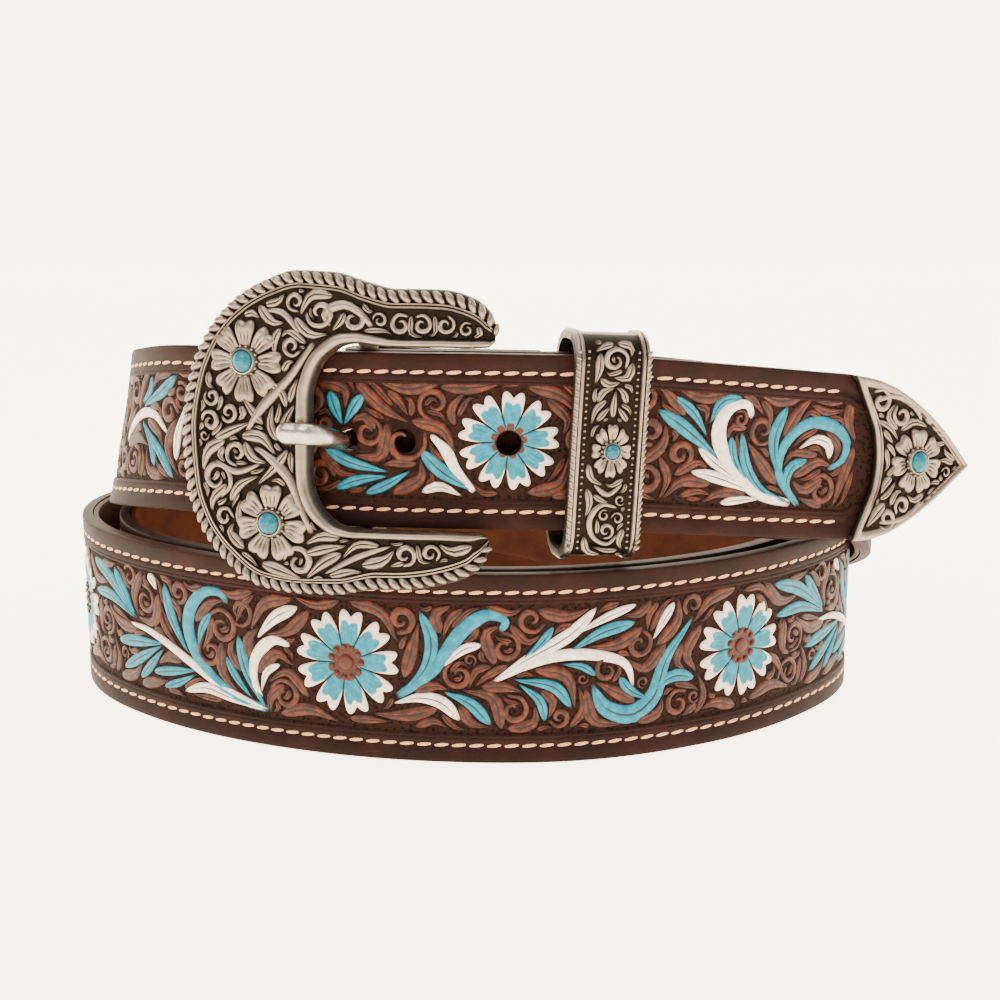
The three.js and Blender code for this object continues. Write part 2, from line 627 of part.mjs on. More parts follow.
// Low raised flower, with the seat of a stone in its middle
function flower(radius, petals, seat) {
  const outline = [];
  const steps = petals * 4;
  for (let i = 0; i < steps; i += 1) {
    const angle = 2 * Math.PI * i / steps;
    const notch = Math.abs(Math.sin(angle * petals / 2));
    const reach = radius * (0.72 + 0.28 * Math.sqrt(notch));
    outline.push(new THREE.Vector2(reach * Math.cos(angle), reach * Math.sin(angle)));
  }
  const petalsBody = new THREE.ExtrudeGeometry(new THREE.Shape(outline), {
    depth: 2 * FLOWER_HEIGHT, bevelEnabled: false });
  petalsBody.translate(0, 0, -FLOWER_HEIGHT);
  const collar = new THREE.CylinderGeometry(seat * 1.15, seat * 1.35, 2.6 * FLOWER_HEIGHT, 14);
  collar.rotateX(Math.PI / 2).translate(0, 0, FLOWER_HEIGHT * 0.1);
  return solid(petalsBody).add(solid(collar));
}

// Height of the flower's seat above the face that the flower stands on
const SEAT_TOP = FLOWER_HEIGHT * 1.4;

// Domed stone with a flat base at z = 0
function stone(radius) {
  const profile = [new THREE.Vector2(0, 0)];
  for (let i = 0; i <= 5; i += 1) {
    const angle = Math.PI / 2 * i / 5;
    profile.push(new THREE.Vector2(radius * Math.cos(angle), radius * 0.62 * Math.sin(angle)));
  }
  profile[profile.length - 1].x = 0;
  const dome = new THREE.LatheGeometry(profile, 14);
  return dome.rotateX(Math.PI / 2);
}

// Two lugs behind the arms and the bar that joins them
function heelBar() {
  const half = BILLET_WIDTH / 2;
  const bottom = -half - LUG_CLEARANCE - LUG_THICK;
  const top = FRAME_RISE + FRAME_SECTIONS[3].innerUp * FRAME_HALF_HEIGHT + 0.1;
  const low = inFrame(barFrame, 0, bottom, -barDepth);
  const bar = new THREE.CylinderGeometry(BAR_RADIUS, BAR_RADIUS, top + LUG_THICK - bottom, 16);
  bar.translate(0, (top + LUG_THICK - bottom) / 2, 0);
  const upright = new THREE.Matrix4().setPosition(low);
  let body = solid(bar.rotateX(Math.PI / 2).applyMatrix4(upright));
  for (const base of [bottom, top]) {
    const up = base + LUG_THICK / 2 - FRAME_RISE;
    const front = onBuckle(BAR_OFFSET, up, PANEL_HEIGHT / 2);
    const reach = inFrame(barFrame, 0, base + LUG_THICK / 2, -barDepth).distanceTo(front);
    const lug = new THREE.BoxGeometry(LUG_WIDTH, LUG_THICK, reach + LUG_WIDTH / 2);
    lug.translate(0, 0, (reach - LUG_WIDTH / 2) / 2);
    body = body.add(solid(lug.applyMatrix4(
      onStrap(barFrame, 0, base + LUG_THICK / 2, -barDepth))));
  }
  return body;
}

function makeBuckle() {
  let body = solid(skin(frameRows().map(buckleSection))).add(heelBar());
  for (const { along, up } of FRAME_FLOWERS) {
    const bloom = flower(FRAME_FLOWER_RADIUS, FLOWER_PETALS, FRAME_STONE_RADIUS);
    const seat = onStrap(buckleFrame(along, up, PANEL_HEIGHT), 0, 0, 0);
    body = body.add(bloom.transform(seat.elements));
  }
  return fromSolid(body);
}

// Prong: an eye on the bar, a shank through the billet's hole and a tip on the frame's rim
function makeProng() {
  const eyeInner = foldRadius;
  const eyeOuter = eyeInner + PRONG_EYE_WALL;
  const half = PRONG_WIDTH / 2;
  const eye = new THREE.LatheGeometry([
    new THREE.Vector2(eyeInner, -half), new THREE.Vector2(eyeOuter, -half),
    new THREE.Vector2(eyeOuter, half), new THREE.Vector2(eyeInner, half),
    new THREE.Vector2(eyeInner, -half)], 20);
  const eyePlace = new THREE.Matrix4().makeBasis(
    barFrame.forward, barFrame.out.clone().negate(), barFrame.up);
  eyePlace.setPosition(inFrame(barFrame, 0, 0, -barDepth));
  eye.rotateX(Math.PI / 2);
  const restHeight = INNER_RIM_HEIGHT + PRONG_THICK / 2 + BAR_CLEARANCE;
  const rimRest = onBuckle(FRAME_OPENING_AT - INNER_RIM_WIDTH / 2, 0, restHeight);
  const overRim = onBuckle(FRAME_OPENING_AT + PRONG_THICK / 2, 0, restHeight);
  const mouth = inFrame(holeFrame, 0, 0, PRONG_THICK / 3);
  const curve = new THREE.CatmullRomCurve3([
    inFrame(barFrame, 0, 0, -barDepth + eyeInner + PRONG_EYE_WALL * 0.7),
    inFrame(holeFrame, BAR_OFFSET * 0.3, 0, -STRAP),
    inFrame(holeFrame, 0, 0, -LEATHER / 2),
    mouth,
    overRim,
    rimRest,
    onBuckle(-PRONG_REACH, 0, restHeight),
  ], false, 'centripetal');
  const sections = 20;
  const sides = 12;
  const rings = [];
  for (let i = 0; i <= sections; i += 1) {
    const at = i / sections;
    const ahead = curve.getTangentAt(at);
    const across = holeFrame.up.clone().addScaledVector(ahead, -holeFrame.up.dot(ahead)).normalize();
    const thick = new THREE.Vector3().crossVectors(ahead, across);
    const grow = Math.min(1, 0.8 + Math.max(0, at - 0.35) * 1.2);
    const tip = at > 0.9 ? Math.sqrt(1 - ((at - 0.9) / 0.102) ** 2) : 1;
    const ring = [];
    for (let k = 0; k < sides; k += 1) {
      const angle = 2 * Math.PI * k / sides;
      ring.push(curve.getPointAt(at)
        .addScaledVector(across, half * grow * tip * Math.cos(angle))
        .addScaledVector(thick, PRONG_THICK / 2 * grow * tip * Math.sin(angle)));
    }
    rings.push(ring);
  }
  return fromSolid(solid(eye.applyMatrix4(eyePlace)).add(solid(skin(rings))));
}

// Frame of the keeper's middle: the billet's frame, leaned and turned as the keeper hangs
const keeperFrame = (() => {
  const frame = strapFrame(turnAfter(HOLE_TURN, KEEPER_PLACE));
  const lean = rad(KEEPER_LEAN_DEG);
  const middle = inFrame(frame, 0, -KEEPER_DROP, 0);
  const up = frame.up.clone().multiplyScalar(Math.cos(lean))
    .addScaledVector(frame.forward, Math.sin(lean));
  const out = frame.out.clone().applyAxisAngle(up, rad(KEEPER_YAW_DEG));
  const forward = new THREE.Vector3().crossVectors(up, out);
  return { place: middle, forward, up, out, width: 0 };
})();

// Keeper: a closed band round both strands, raised along its two edges
function makeKeeper() {
  const front = KEEPER_CLEARANCE + KEEPER_METAL;
  const back = -(PITCH * 1.15 + STRAP + KEEPER_CLEARANCE + KEEPER_METAL);
  const round = new THREE.Shape();
  const [w, h, r] = [(front - back) / 2, KEEPER_HEIGHT / 2, KEEPER_CORNER];
  round.moveTo(-w + r, -h);
  round.lineTo(w - r, -h);
  round.absarc(w - r, -h + r, r, -Math.PI / 2, 0);
  round.lineTo(w, h - r);
  round.absarc(w - r, h - r, r, 0, Math.PI / 2);
  round.lineTo(-w + r, h);
  round.absarc(-w + r, h - r, r, Math.PI / 2, Math.PI);
  round.lineTo(-w, -h + r);
  round.absarc(-w + r, -h + r, r, Math.PI, 1.5 * Math.PI);
  const loop = round.getPoints(5).filter((p, i, all) => i === 0 || p.distanceTo(all[i - 1]) > 1e-6);
  if (loop[0].distanceTo(loop[loop.length - 1]) < 1e-6) loop.pop();
  const half = KEEPER_WIDTH / 2;
  const section = [
    [-half, KEEPER_METAL], [-half, 0], [-half + KEEPER_RIM_SLOPE, -KEEPER_RIM],
    [-half + KEEPER_RIM_WIDTH - KEEPER_RIM_SLOPE, -KEEPER_RIM], [-half + KEEPER_RIM_WIDTH, 0],
    [half - KEEPER_RIM_WIDTH, 0], [half - KEEPER_RIM_WIDTH + KEEPER_RIM_SLOPE, -KEEPER_RIM],
    [half - KEEPER_RIM_SLOPE, -KEEPER_RIM], [half, 0], [half, KEEPER_METAL],
  ];
  const rings = loop.map((p, i) => {
    const before = loop[(i + loop.length - 1) % loop.length];
    const after = loop[(i + 1) % loop.length];
    const inward = after.clone().sub(before).normalize();
    inward.set(-inward.y, inward.x);
    return section.map(([along, depth]) => inFrame(
      keeperFrame, along, p.y + inward.y * depth, p.x + inward.x * depth + (front + back) / 2));
  });
  const bloom = flower(KEEPER_FLOWER_RADIUS, FLOWER_PETALS, KEEPER_STONE_RADIUS);
  const seat = onStrap(keeperFrame, KEEPER_FLOWER_ALONG, KEEPER_FLOWER_UP, front);
  return fromSolid(solid(skin(rings, true)).add(bloom.transform(seat.elements)));
}

// Tip: a pointed cap with a concave base, raised round its edge and hollow for the strap's end
function makeTip() {
  const half = BILLET_WIDTH / 2;
  const front = TIP_CLEARANCE + TIP_METAL;
  const back = -LEATHER - TIP_CLEARANCE - TIP_METAL;
  const skew = (p) => new THREE.Vector2(p.x + tipSkew(p.x, p.y), p.y);
  const outline = (inset) => {
    const upper = TIP_OUTLINE.map(({ along, half: share }) => new THREE.Vector2(
      along * (TIP_LENGTH - inset * 2) + (along === 0 ? inset * 0.4 : 0),
      Math.max(share * half - inset * (1 + along * 0.6), 0.15)));
    const lower = upper.slice().reverse().map((p) => new THREE.Vector2(p.x, -p.y));
    const base = TIP_BASE.slice(1, -1).map(({ up, back: bite }) => new THREE.Vector2(
      bite * TIP_LENGTH + inset, up * (half - inset)));
    return [...upper, ...lower, ...base].map(skew);
  };
  const plate = new THREE.ExtrudeGeometry(new THREE.Shape(outline(0)), {
    depth: front - back, bevelEnabled: false }).translate(0, 0, back);
  const rim = new THREE.ExtrudeGeometry(new THREE.Shape(outline(TIP_BEVEL)), {
    depth: TIP_RIM + TIP_BEVEL, bevelEnabled: false }).translate(0, 0, front - TIP_BEVEL);
  const well = new THREE.ExtrudeGeometry(new THREE.Shape(outline(TIP_RIM_WIDTH + TIP_BEVEL)), {
    depth: TIP_RIM * 2, bevelEnabled: false }).translate(0, 0, front);
  const mouth = half - TIP_METAL;
  const stops = [[-TIP_METAL, mouth], [TIP_CLEARANCE, mouth]];
  for (const along of [STRAP_END_IN_TIP / 2, STRAP_END_IN_TIP]) {
    stops.push([along, tipHalfHeight(along) - TIP_METAL]);
  }
  stops.push([STRAP_END_IN_TIP + TIP_CLEARANCE, stops[3][1]]);
  const cut = new THREE.Shape([
    ...stops.map(([along, up]) => skew(new THREE.Vector2(along, up))),
    ...stops.reverse().map(([along, up]) => skew(new THREE.Vector2(along, -up))),
  ]);
  const hollow = new THREE.ExtrudeGeometry(cut, {
    depth: LEATHER + 2 * TIP_CLEARANCE, bevelEnabled: false })
    .translate(0, 0, -LEATHER - TIP_CLEARANCE);
  const bloom = flower(TIP_FLOWER_RADIUS, FLOWER_PETALS, TIP_STONE_RADIUS)
    .translate([TIP_FLOWER_ALONG, TIP_FLOWER_UP, front]);
  const body = solid(plate).add(solid(rim)).subtract(solid(well)).subtract(solid(hollow)).add(bloom);
  return fromSolid(body.transform(onStrap(tipFrame, 0, 0, 0).elements));
}

function named(name, geometry, colour) {
  const mesh = new THREE.Mesh(geometry, new THREE.MeshStandardMaterial(COLOURS[colour]));
  mesh.name = name;
  return mesh;
}

// Stone on the seat of the flower at a place given by its matrix
function stoneOn(name, radius, seat) {
  return named(name, stone(radius).translate(0, 0, SEAT_TOP + STONE_GAP).applyMatrix4(seat),
    'turquoise');
}

const belt = new THREE.Group();
belt.add(
  named('tooled_strap', makeStrap(), 'leather'),
  named('lining', makeLining(), 'lining'),
  named('buckle_frame', makeBuckle(), 'silver'),
  named('prong', makeProng(), 'silver'),
  named('keeper_loop', makeKeeper(), 'silver'),
  named('belt_tip', makeTip(), 'silver'),
  ...FRAME_FLOWERS.map(({ name, along, up }) => stoneOn(
    name, FRAME_STONE_RADIUS, onStrap(buckleFrame(along, up, PANEL_HEIGHT), 0, 0, 0))),
  stoneOn('stone_keeper', KEEPER_STONE_RADIUS,
    onStrap(
      keeperFrame, KEEPER_FLOWER_ALONG, KEEPER_FLOWER_UP, KEEPER_CLEARANCE + KEEPER_METAL)),
  stoneOn('stone_tip', TIP_STONE_RADIUS,
    onStrap(tipFrame, TIP_FLOWER_ALONG, TIP_FLOWER_UP, TIP_CLEARANCE + TIP_METAL)),
);

// The origin is under the middle of the whole belt, on the surface that it stands on
const box = new THREE.Box3().setFromObject(belt, true);
const middle = box.getCenter(new THREE.Vector3());
belt.position.set(-middle.x, -middle.y, -box.min.z);
belt.updateMatrixWorld(true);

export default belt;
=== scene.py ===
"""Western tooled leather belt, coiled and buckled, in its finishes.

The strap, lining, buckle, keeper and tip are rebuilt finely on the frame's own route and
sections, and carry their tooling, stitches, rope edge and scrollwork. Sizes are millimetres
in the coil's own frame, and Bench.place turns them into the row frame's metres.
"""

import json
import logging
import math
from collections.abc import Callable, Iterable, Sequence
from dataclasses import dataclass, field
from enum import Enum

import bmesh
import bpy
import numpy as np
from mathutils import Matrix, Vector

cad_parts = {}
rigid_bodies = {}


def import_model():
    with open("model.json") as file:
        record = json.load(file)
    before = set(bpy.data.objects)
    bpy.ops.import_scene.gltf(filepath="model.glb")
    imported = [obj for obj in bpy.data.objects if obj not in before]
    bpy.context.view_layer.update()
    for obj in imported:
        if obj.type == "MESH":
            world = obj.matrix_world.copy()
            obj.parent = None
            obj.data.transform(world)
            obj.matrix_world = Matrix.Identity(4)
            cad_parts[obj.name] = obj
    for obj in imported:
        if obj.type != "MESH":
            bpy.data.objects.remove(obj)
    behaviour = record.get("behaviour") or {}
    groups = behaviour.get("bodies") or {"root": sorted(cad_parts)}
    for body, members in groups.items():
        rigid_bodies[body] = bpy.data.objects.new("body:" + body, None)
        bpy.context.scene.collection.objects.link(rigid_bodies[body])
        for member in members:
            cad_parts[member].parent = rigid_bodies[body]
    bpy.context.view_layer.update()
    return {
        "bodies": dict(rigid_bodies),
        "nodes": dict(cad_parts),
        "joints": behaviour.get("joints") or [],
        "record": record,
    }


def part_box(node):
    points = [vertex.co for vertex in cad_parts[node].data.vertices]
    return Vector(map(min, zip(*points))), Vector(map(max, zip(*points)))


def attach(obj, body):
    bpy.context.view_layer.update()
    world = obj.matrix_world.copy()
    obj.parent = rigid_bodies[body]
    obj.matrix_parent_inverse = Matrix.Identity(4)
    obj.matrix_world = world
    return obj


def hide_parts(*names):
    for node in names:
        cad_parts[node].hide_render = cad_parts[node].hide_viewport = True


log = logging.getLogger("belt")
Array = np.ndarray
Surface = Callable[[Array, Array, Array], Array]
Line = tuple[tuple[float, float], ...]
MM = 0.001


def unit(vectors: Array) -> Array:
    """Vectors at length one.

    Args:
        vectors: rows of coordinates.

    Returns:
        The same directions with length one.
    """
    return vectors / np.linalg.norm(vectors, axis=-1, keepdims=True)


def blend(keys: Array, values: Array, at: Array, free: bool = False) -> Array:
    """Smooth values of one table column through all its rows.

    Args:
        keys: where the rows lie, rising.
        values: the column.
        at: where values are wanted.
        free: whether the curve may swing past its rows, which bends more evenly.

    Returns:
        The column's value at each place.
    """
    step = np.diff(keys)
    slope = np.diff(values) / step
    tangent = np.concatenate([slope[:1], np.zeros(len(keys) - 2), slope[-1:]])
    before, after = slope[:-1], slope[1:]
    if free:
        tangent[1:-1] = (before * step[1:] + after * step[:-1]) / (step[1:] + step[:-1])
    else:
        first = 2 * step[1:] + step[:-1]
        second = step[1:] + 2 * step[:-1]
        same = before * after > 0
        slow = first / np.where(same, before, 1) + second / np.where(same, after, 1)
        tangent[1:-1] = np.where(same, (first + second) / slow, 0)
    i = np.clip(np.searchsorted(keys, at, side="right") - 1, 0, len(keys) - 2)
    h = step[i]
    t = (at - keys[i]) / h
    rise = 3 * t**2 - 2 * t**3
    return ((1 - rise) * values[i] + rise * values[i + 1]
            + h * (t * (1 - t) ** 2 * tangent[i] - t**2 * (1 - t) * tangent[i + 1]))


def smooth_line(points: Array, count: int) -> Array:
    """Even points on a smooth curve through a few given ones.

    Args:
        points: rows of coordinates.
        count: how many even points are wanted.

    Returns:
        The even points, as many as count.
    """
    points = np.asarray(points, float)
    if len(points) == 2:
        return points[0] + (points[1] - points[0]) * np.linspace(0, 1, count)[:, None]
    knots = np.concatenate([[0], np.cumsum(np.sqrt(np.linalg.norm(np.diff(points, axis=0), axis=1)))])
    dense = np.linspace(0, knots[-1], 12 * len(points))
    curve = np.stack([blend(knots, column, dense, free=True) for column in points.T], axis=1)
    walked = np.concatenate([[0], np.cumsum(np.linalg.norm(np.diff(curve, axis=0), axis=1))])
    even = np.linspace(0, walked[-1], count)
    return np.stack([np.interp(even, walked, column) for column in curve.T], axis=1)


def bump(x: Array, middle: float, spread: float) -> Array:
    """Bell curve of height one.

    Args:
        x: where it is wanted.
        middle: where it peaks.
        spread: how wide it is.

    Returns:
        Its height at each place.
    """
    return np.exp(-(((x - middle) / spread) ** 2))


@dataclass
class Stations:
    """Places along the strap, each with its directions and width."""

    place: Array
    forward: Array
    up: Array
    out: Array
    width: Array

    def point(self, along: Array | float, up: Array | float, out: Array | float) -> Array:
        """Points in these stations.

        Args:
            along: distance forward of each station.
            up: distance up from the middle of the width.
            out: distance out of the outer face.

        Returns:
            One point for each station.
        """
        lift = np.asarray(up) + self.width / 2
        return (self.place + self.forward * np.asarray(along)[..., None]
                + self.up * lift[..., None] + self.out * np.asarray(out)[..., None])


STRANDS = np.array([
    # turn, inset in pitches, rise in belt widths, lean in degrees, width share
    (-0.1, 2.1, 1.21, 0, 0), (0.01, 2.1, 1.213, 0, 0), (0.047, 1.95, 1.205, 0, 0),
    (0.075, 1.85, 1.185, 0, 0), (0.105, 1.6, 1.14, 0, 0), (0.143, 1.1, 1.06, 0, 0),
    (0.171, 0.35, 1.017, 0, 0), (0.188, -0.36, 1.011, 0, 0), (0.205, -0.85, 0.957, 0, 0),
    (0.235, -1.12, 0.81, 0, 0.1), (0.27, -1.15, 0.66, 0, 0.25), (0.31, -1, 0.5, 0, 0.5),
    (0.36, -0.75, 0.31, 0, 0.8), (0.42, -0.35, 0.12, 0, 1), (0.5, 0.15, 0, 0, 1),
    (0.62, 0.15, 0, 0, 1), (0.75, 0, 0, 0, 1), (0.82, 0.15, 0, 0, 1), (0.87, 0.45, 0, 0, 1),
    (0.93, 0.5, 0, 0, 1), (1, 0.25, 0, 0, 1), (1.055, 0.05, 0, 0, 1), (1.11, 0.42, 0, 0, 1),
    (1.17, 0.6, 0, 0, 1), (1.25, -0.05, 0, 0, 1), (1.35, 0.3, 0, 0, 1), (1.5, 1.3, 0, 0, 1),
    (1.6, 1.5, 0, 0, 1), (1.7, 1.85, 0, 0, 1), (1.78, 2.1, 0, 0, 1), (1.85, 1.7, 0, 0, 1),
    (1.93, 1.6, 0, 0, 1), (2, 1.35, 0, 0, 1), (2.055, 1.17, 0, 0, 1), (2.11, 1.6, 0, 0, 1),
    (2.17, 2.05, 0, 0, 1), (2.25, 2.2, 0.06, 0, 0.95), (2.35, 2.25, 0.18, 0, 0.7),
    (2.5, 2.5, 0.46, 2, 0.2), (2.59, 2.75, 0.78, 6, 0), (2.655, 2.95, 0.995, 10, 0),
    (2.69, 2.85, 1.014, 12, 0), (2.73, 2.2, 1.016, 13.5, 0), (2.77, 1.6, 1.025, 14, 0),
    (2.81, 1.5, 1.085, 12, 0), (2.851, 1.45, 1.145, 8, 0), (2.9, 1.2, 1.2, 4, 0),
    (2.95, 1, 1.21, 1.5, 0), (3.01, 0.95, 1.213, 0, 0), (3.047, 0.8, 1.205, 0, 0),
    (3.075, 0.7, 1.185, 0, 0), (3.105, 0.45, 1.145, 0, 0), (3.135, 0.1, 1.1, 0, 0),
], float)


@dataclass
class Coil:
    """The route of the strap: an oval of three turns that rises to the buckle."""

    half_width: float = 87.8
    front_depth: float = 66.0
    back_depth: float = 56.0
    slew_deg: float = -6.0
    belt_width: float = 38.0
    billet_width: float = 33.8
    pitch: float = 4.1
    leather: float = 2.3
    strap: float = 3.6
    hole_turn: float = 2.972
    tail_leaves: float = 3.125
    bar_offset: float = 2.0
    tail_to_tip: float = 101.0
    turns: Array = field(init=False)
    walked: Array = field(init=False)

    def __post_init__(self) -> None:
        """Measures the route once."""
        self.turns = np.arange(-0.1, 3.4, 1 / 2000)
        place = self.stations(self.turns).place
        self.walked = np.concatenate([[0], np.cumsum(np.linalg.norm(np.diff(place, axis=0), axis=1))])

    def oval(self, turn: Array) -> Array:
        """Plan points of the oval at some turns."""
        angle = 2 * np.pi * turn - np.pi / 2
        depth = np.where(np.sin(angle) < 0, self.front_depth, self.back_depth)
        x, y = self.half_width * np.cos(angle), depth * np.sin(angle)
        c, s = math.cos(math.radians(self.slew_deg)), math.sin(math.radians(self.slew_deg))
        return np.stack([x * c - y * s, x * s + y * c], axis=-1)

    def offset(self, turn: Array, out: Array | float) -> Array:
        """Plan points moved out of the oval.

        Args:
            turn: turns round the oval.
            out: how far out of it the points lie.

        Returns:
            One plan point for each turn.
        """
        nudge = 1e-4
        ahead = unit(self.oval(turn + nudge) - self.oval(turn - nudge))
        side = np.stack([ahead[..., 1], -ahead[..., 0]], axis=-1)
        return self.oval(turn) + side * np.asarray(out)[..., None]

    def edge(self, turn: Array) -> Array:
        """Points of the strap's lower outer edge at some turns."""
        inset = blend(STRANDS[:, 0], STRANDS[:, 1], turn, free=True)
        rise = blend(STRANDS[:, 0], STRANDS[:, 2], turn)
        plan = self.offset(turn, -inset * self.pitch)
        return np.concatenate([plan, rise[..., None] * self.belt_width], axis=-1)

    def stations(self, turn: Array) -> Stations:
        """Stations of the strap at some turns, straight on past where the tail leaves."""
        nudge = 1e-3
        on_oval = np.minimum(turn, self.tail_leaves)
        here = self.edge(on_oval)
        speed = (here - self.edge(on_oval - nudge)) / nudge
        forward = unit(speed)
        place = here + speed * (turn - on_oval)[..., None]
        flat = unit(np.stack([forward[..., 1], -forward[..., 0], np.zeros_like(on_oval)], axis=-1))
        upright = unit(np.cross(flat, forward))
        lean = np.radians(blend(STRANDS[:, 0], STRANDS[:, 3], on_oval))[..., None]
        up = upright * np.cos(lean) - flat * np.sin(lean)
        out = flat * np.cos(lean) + upright * np.sin(lean)
        share = blend(STRANDS[:, 0], STRANDS[:, 4], on_oval)
        width = self.billet_width + (self.belt_width - self.billet_width) * share
        return Stations(place, forward, up, out, width)

    def after(self, turn: float, distance: Array | float) -> Array:
        """Turns that lie some distance along the strap from a turn."""
        start = np.interp(turn, self.turns, self.walked)
        return np.interp(start + np.asarray(distance, float), self.walked, self.turns)

    def face(self, turn: float) -> Surface:
        """Surface of the outer face, charted from a turn.

        Args:
            turn: where the chart's zero lies.

        Returns:
            A function of distance along, distance up from the middle, and height out.
        """
        def surface(along: Array, up: Array, out: Array) -> Array:
            """Points of the outer face."""
            return self.stations(self.after(turn, along)).point(0.0, up, out)
        return surface

    @property
    def bar_turn(self) -> float:
        """Turn at which the buckle's bar stands."""
        return float(self.after(self.hole_turn, self.bar_offset)) - 3

    @property
    def tip_turn(self) -> float:
        """Turn at which the metal tip begins."""
        return float(self.after(self.hole_turn, self.tail_to_tip))

    def fitting(self, turn: float) -> Stations:
        """One station, for what stands on the strap there."""
        return self.stations(np.array(turn))


class Paint(Enum):
    """What a tooled stroke is painted with."""

    TURQUOISE = "turquoise"
    WHITE = "white"
    BROWN = "brown"


class Form(Enum):
    """How a stroke's width runs along it."""

    LEAF = "leaf"
    SCROLL = "scroll"
    STEM = "stem"


@dataclass(frozen=True)
class Stroke:
    """A tooled leaf, scroll or stem: its paint, width and middle line from tip to base."""

    paint: Paint
    form: Form
    width: float
    line: Line


def ring_faces(rings: int, sides: int, loop: bool = False) -> list[Array]:
    """Faces that join rings of points.

    Args:
        rings: how many rings.
        sides: points in a ring.
        loop: whether the last ring joins the first, or both ends are filled.

    Returns:
        Arrays of faces, one for each number of corners.
    """
    index = np.arange(rings * sides).reshape(rings, sides)
    here = index if loop else index[:-1]
    there = np.roll(index, -1, axis=0) if loop else index[1:]
    quads = np.stack([here, np.roll(here, -1, axis=1), np.roll(there, -1, axis=1), there], axis=-1)
    faces = [quads.reshape(-1, 4)]
    if not loop:
        faces.append(np.stack([index[0][::-1], index[-1]]))
    return faces


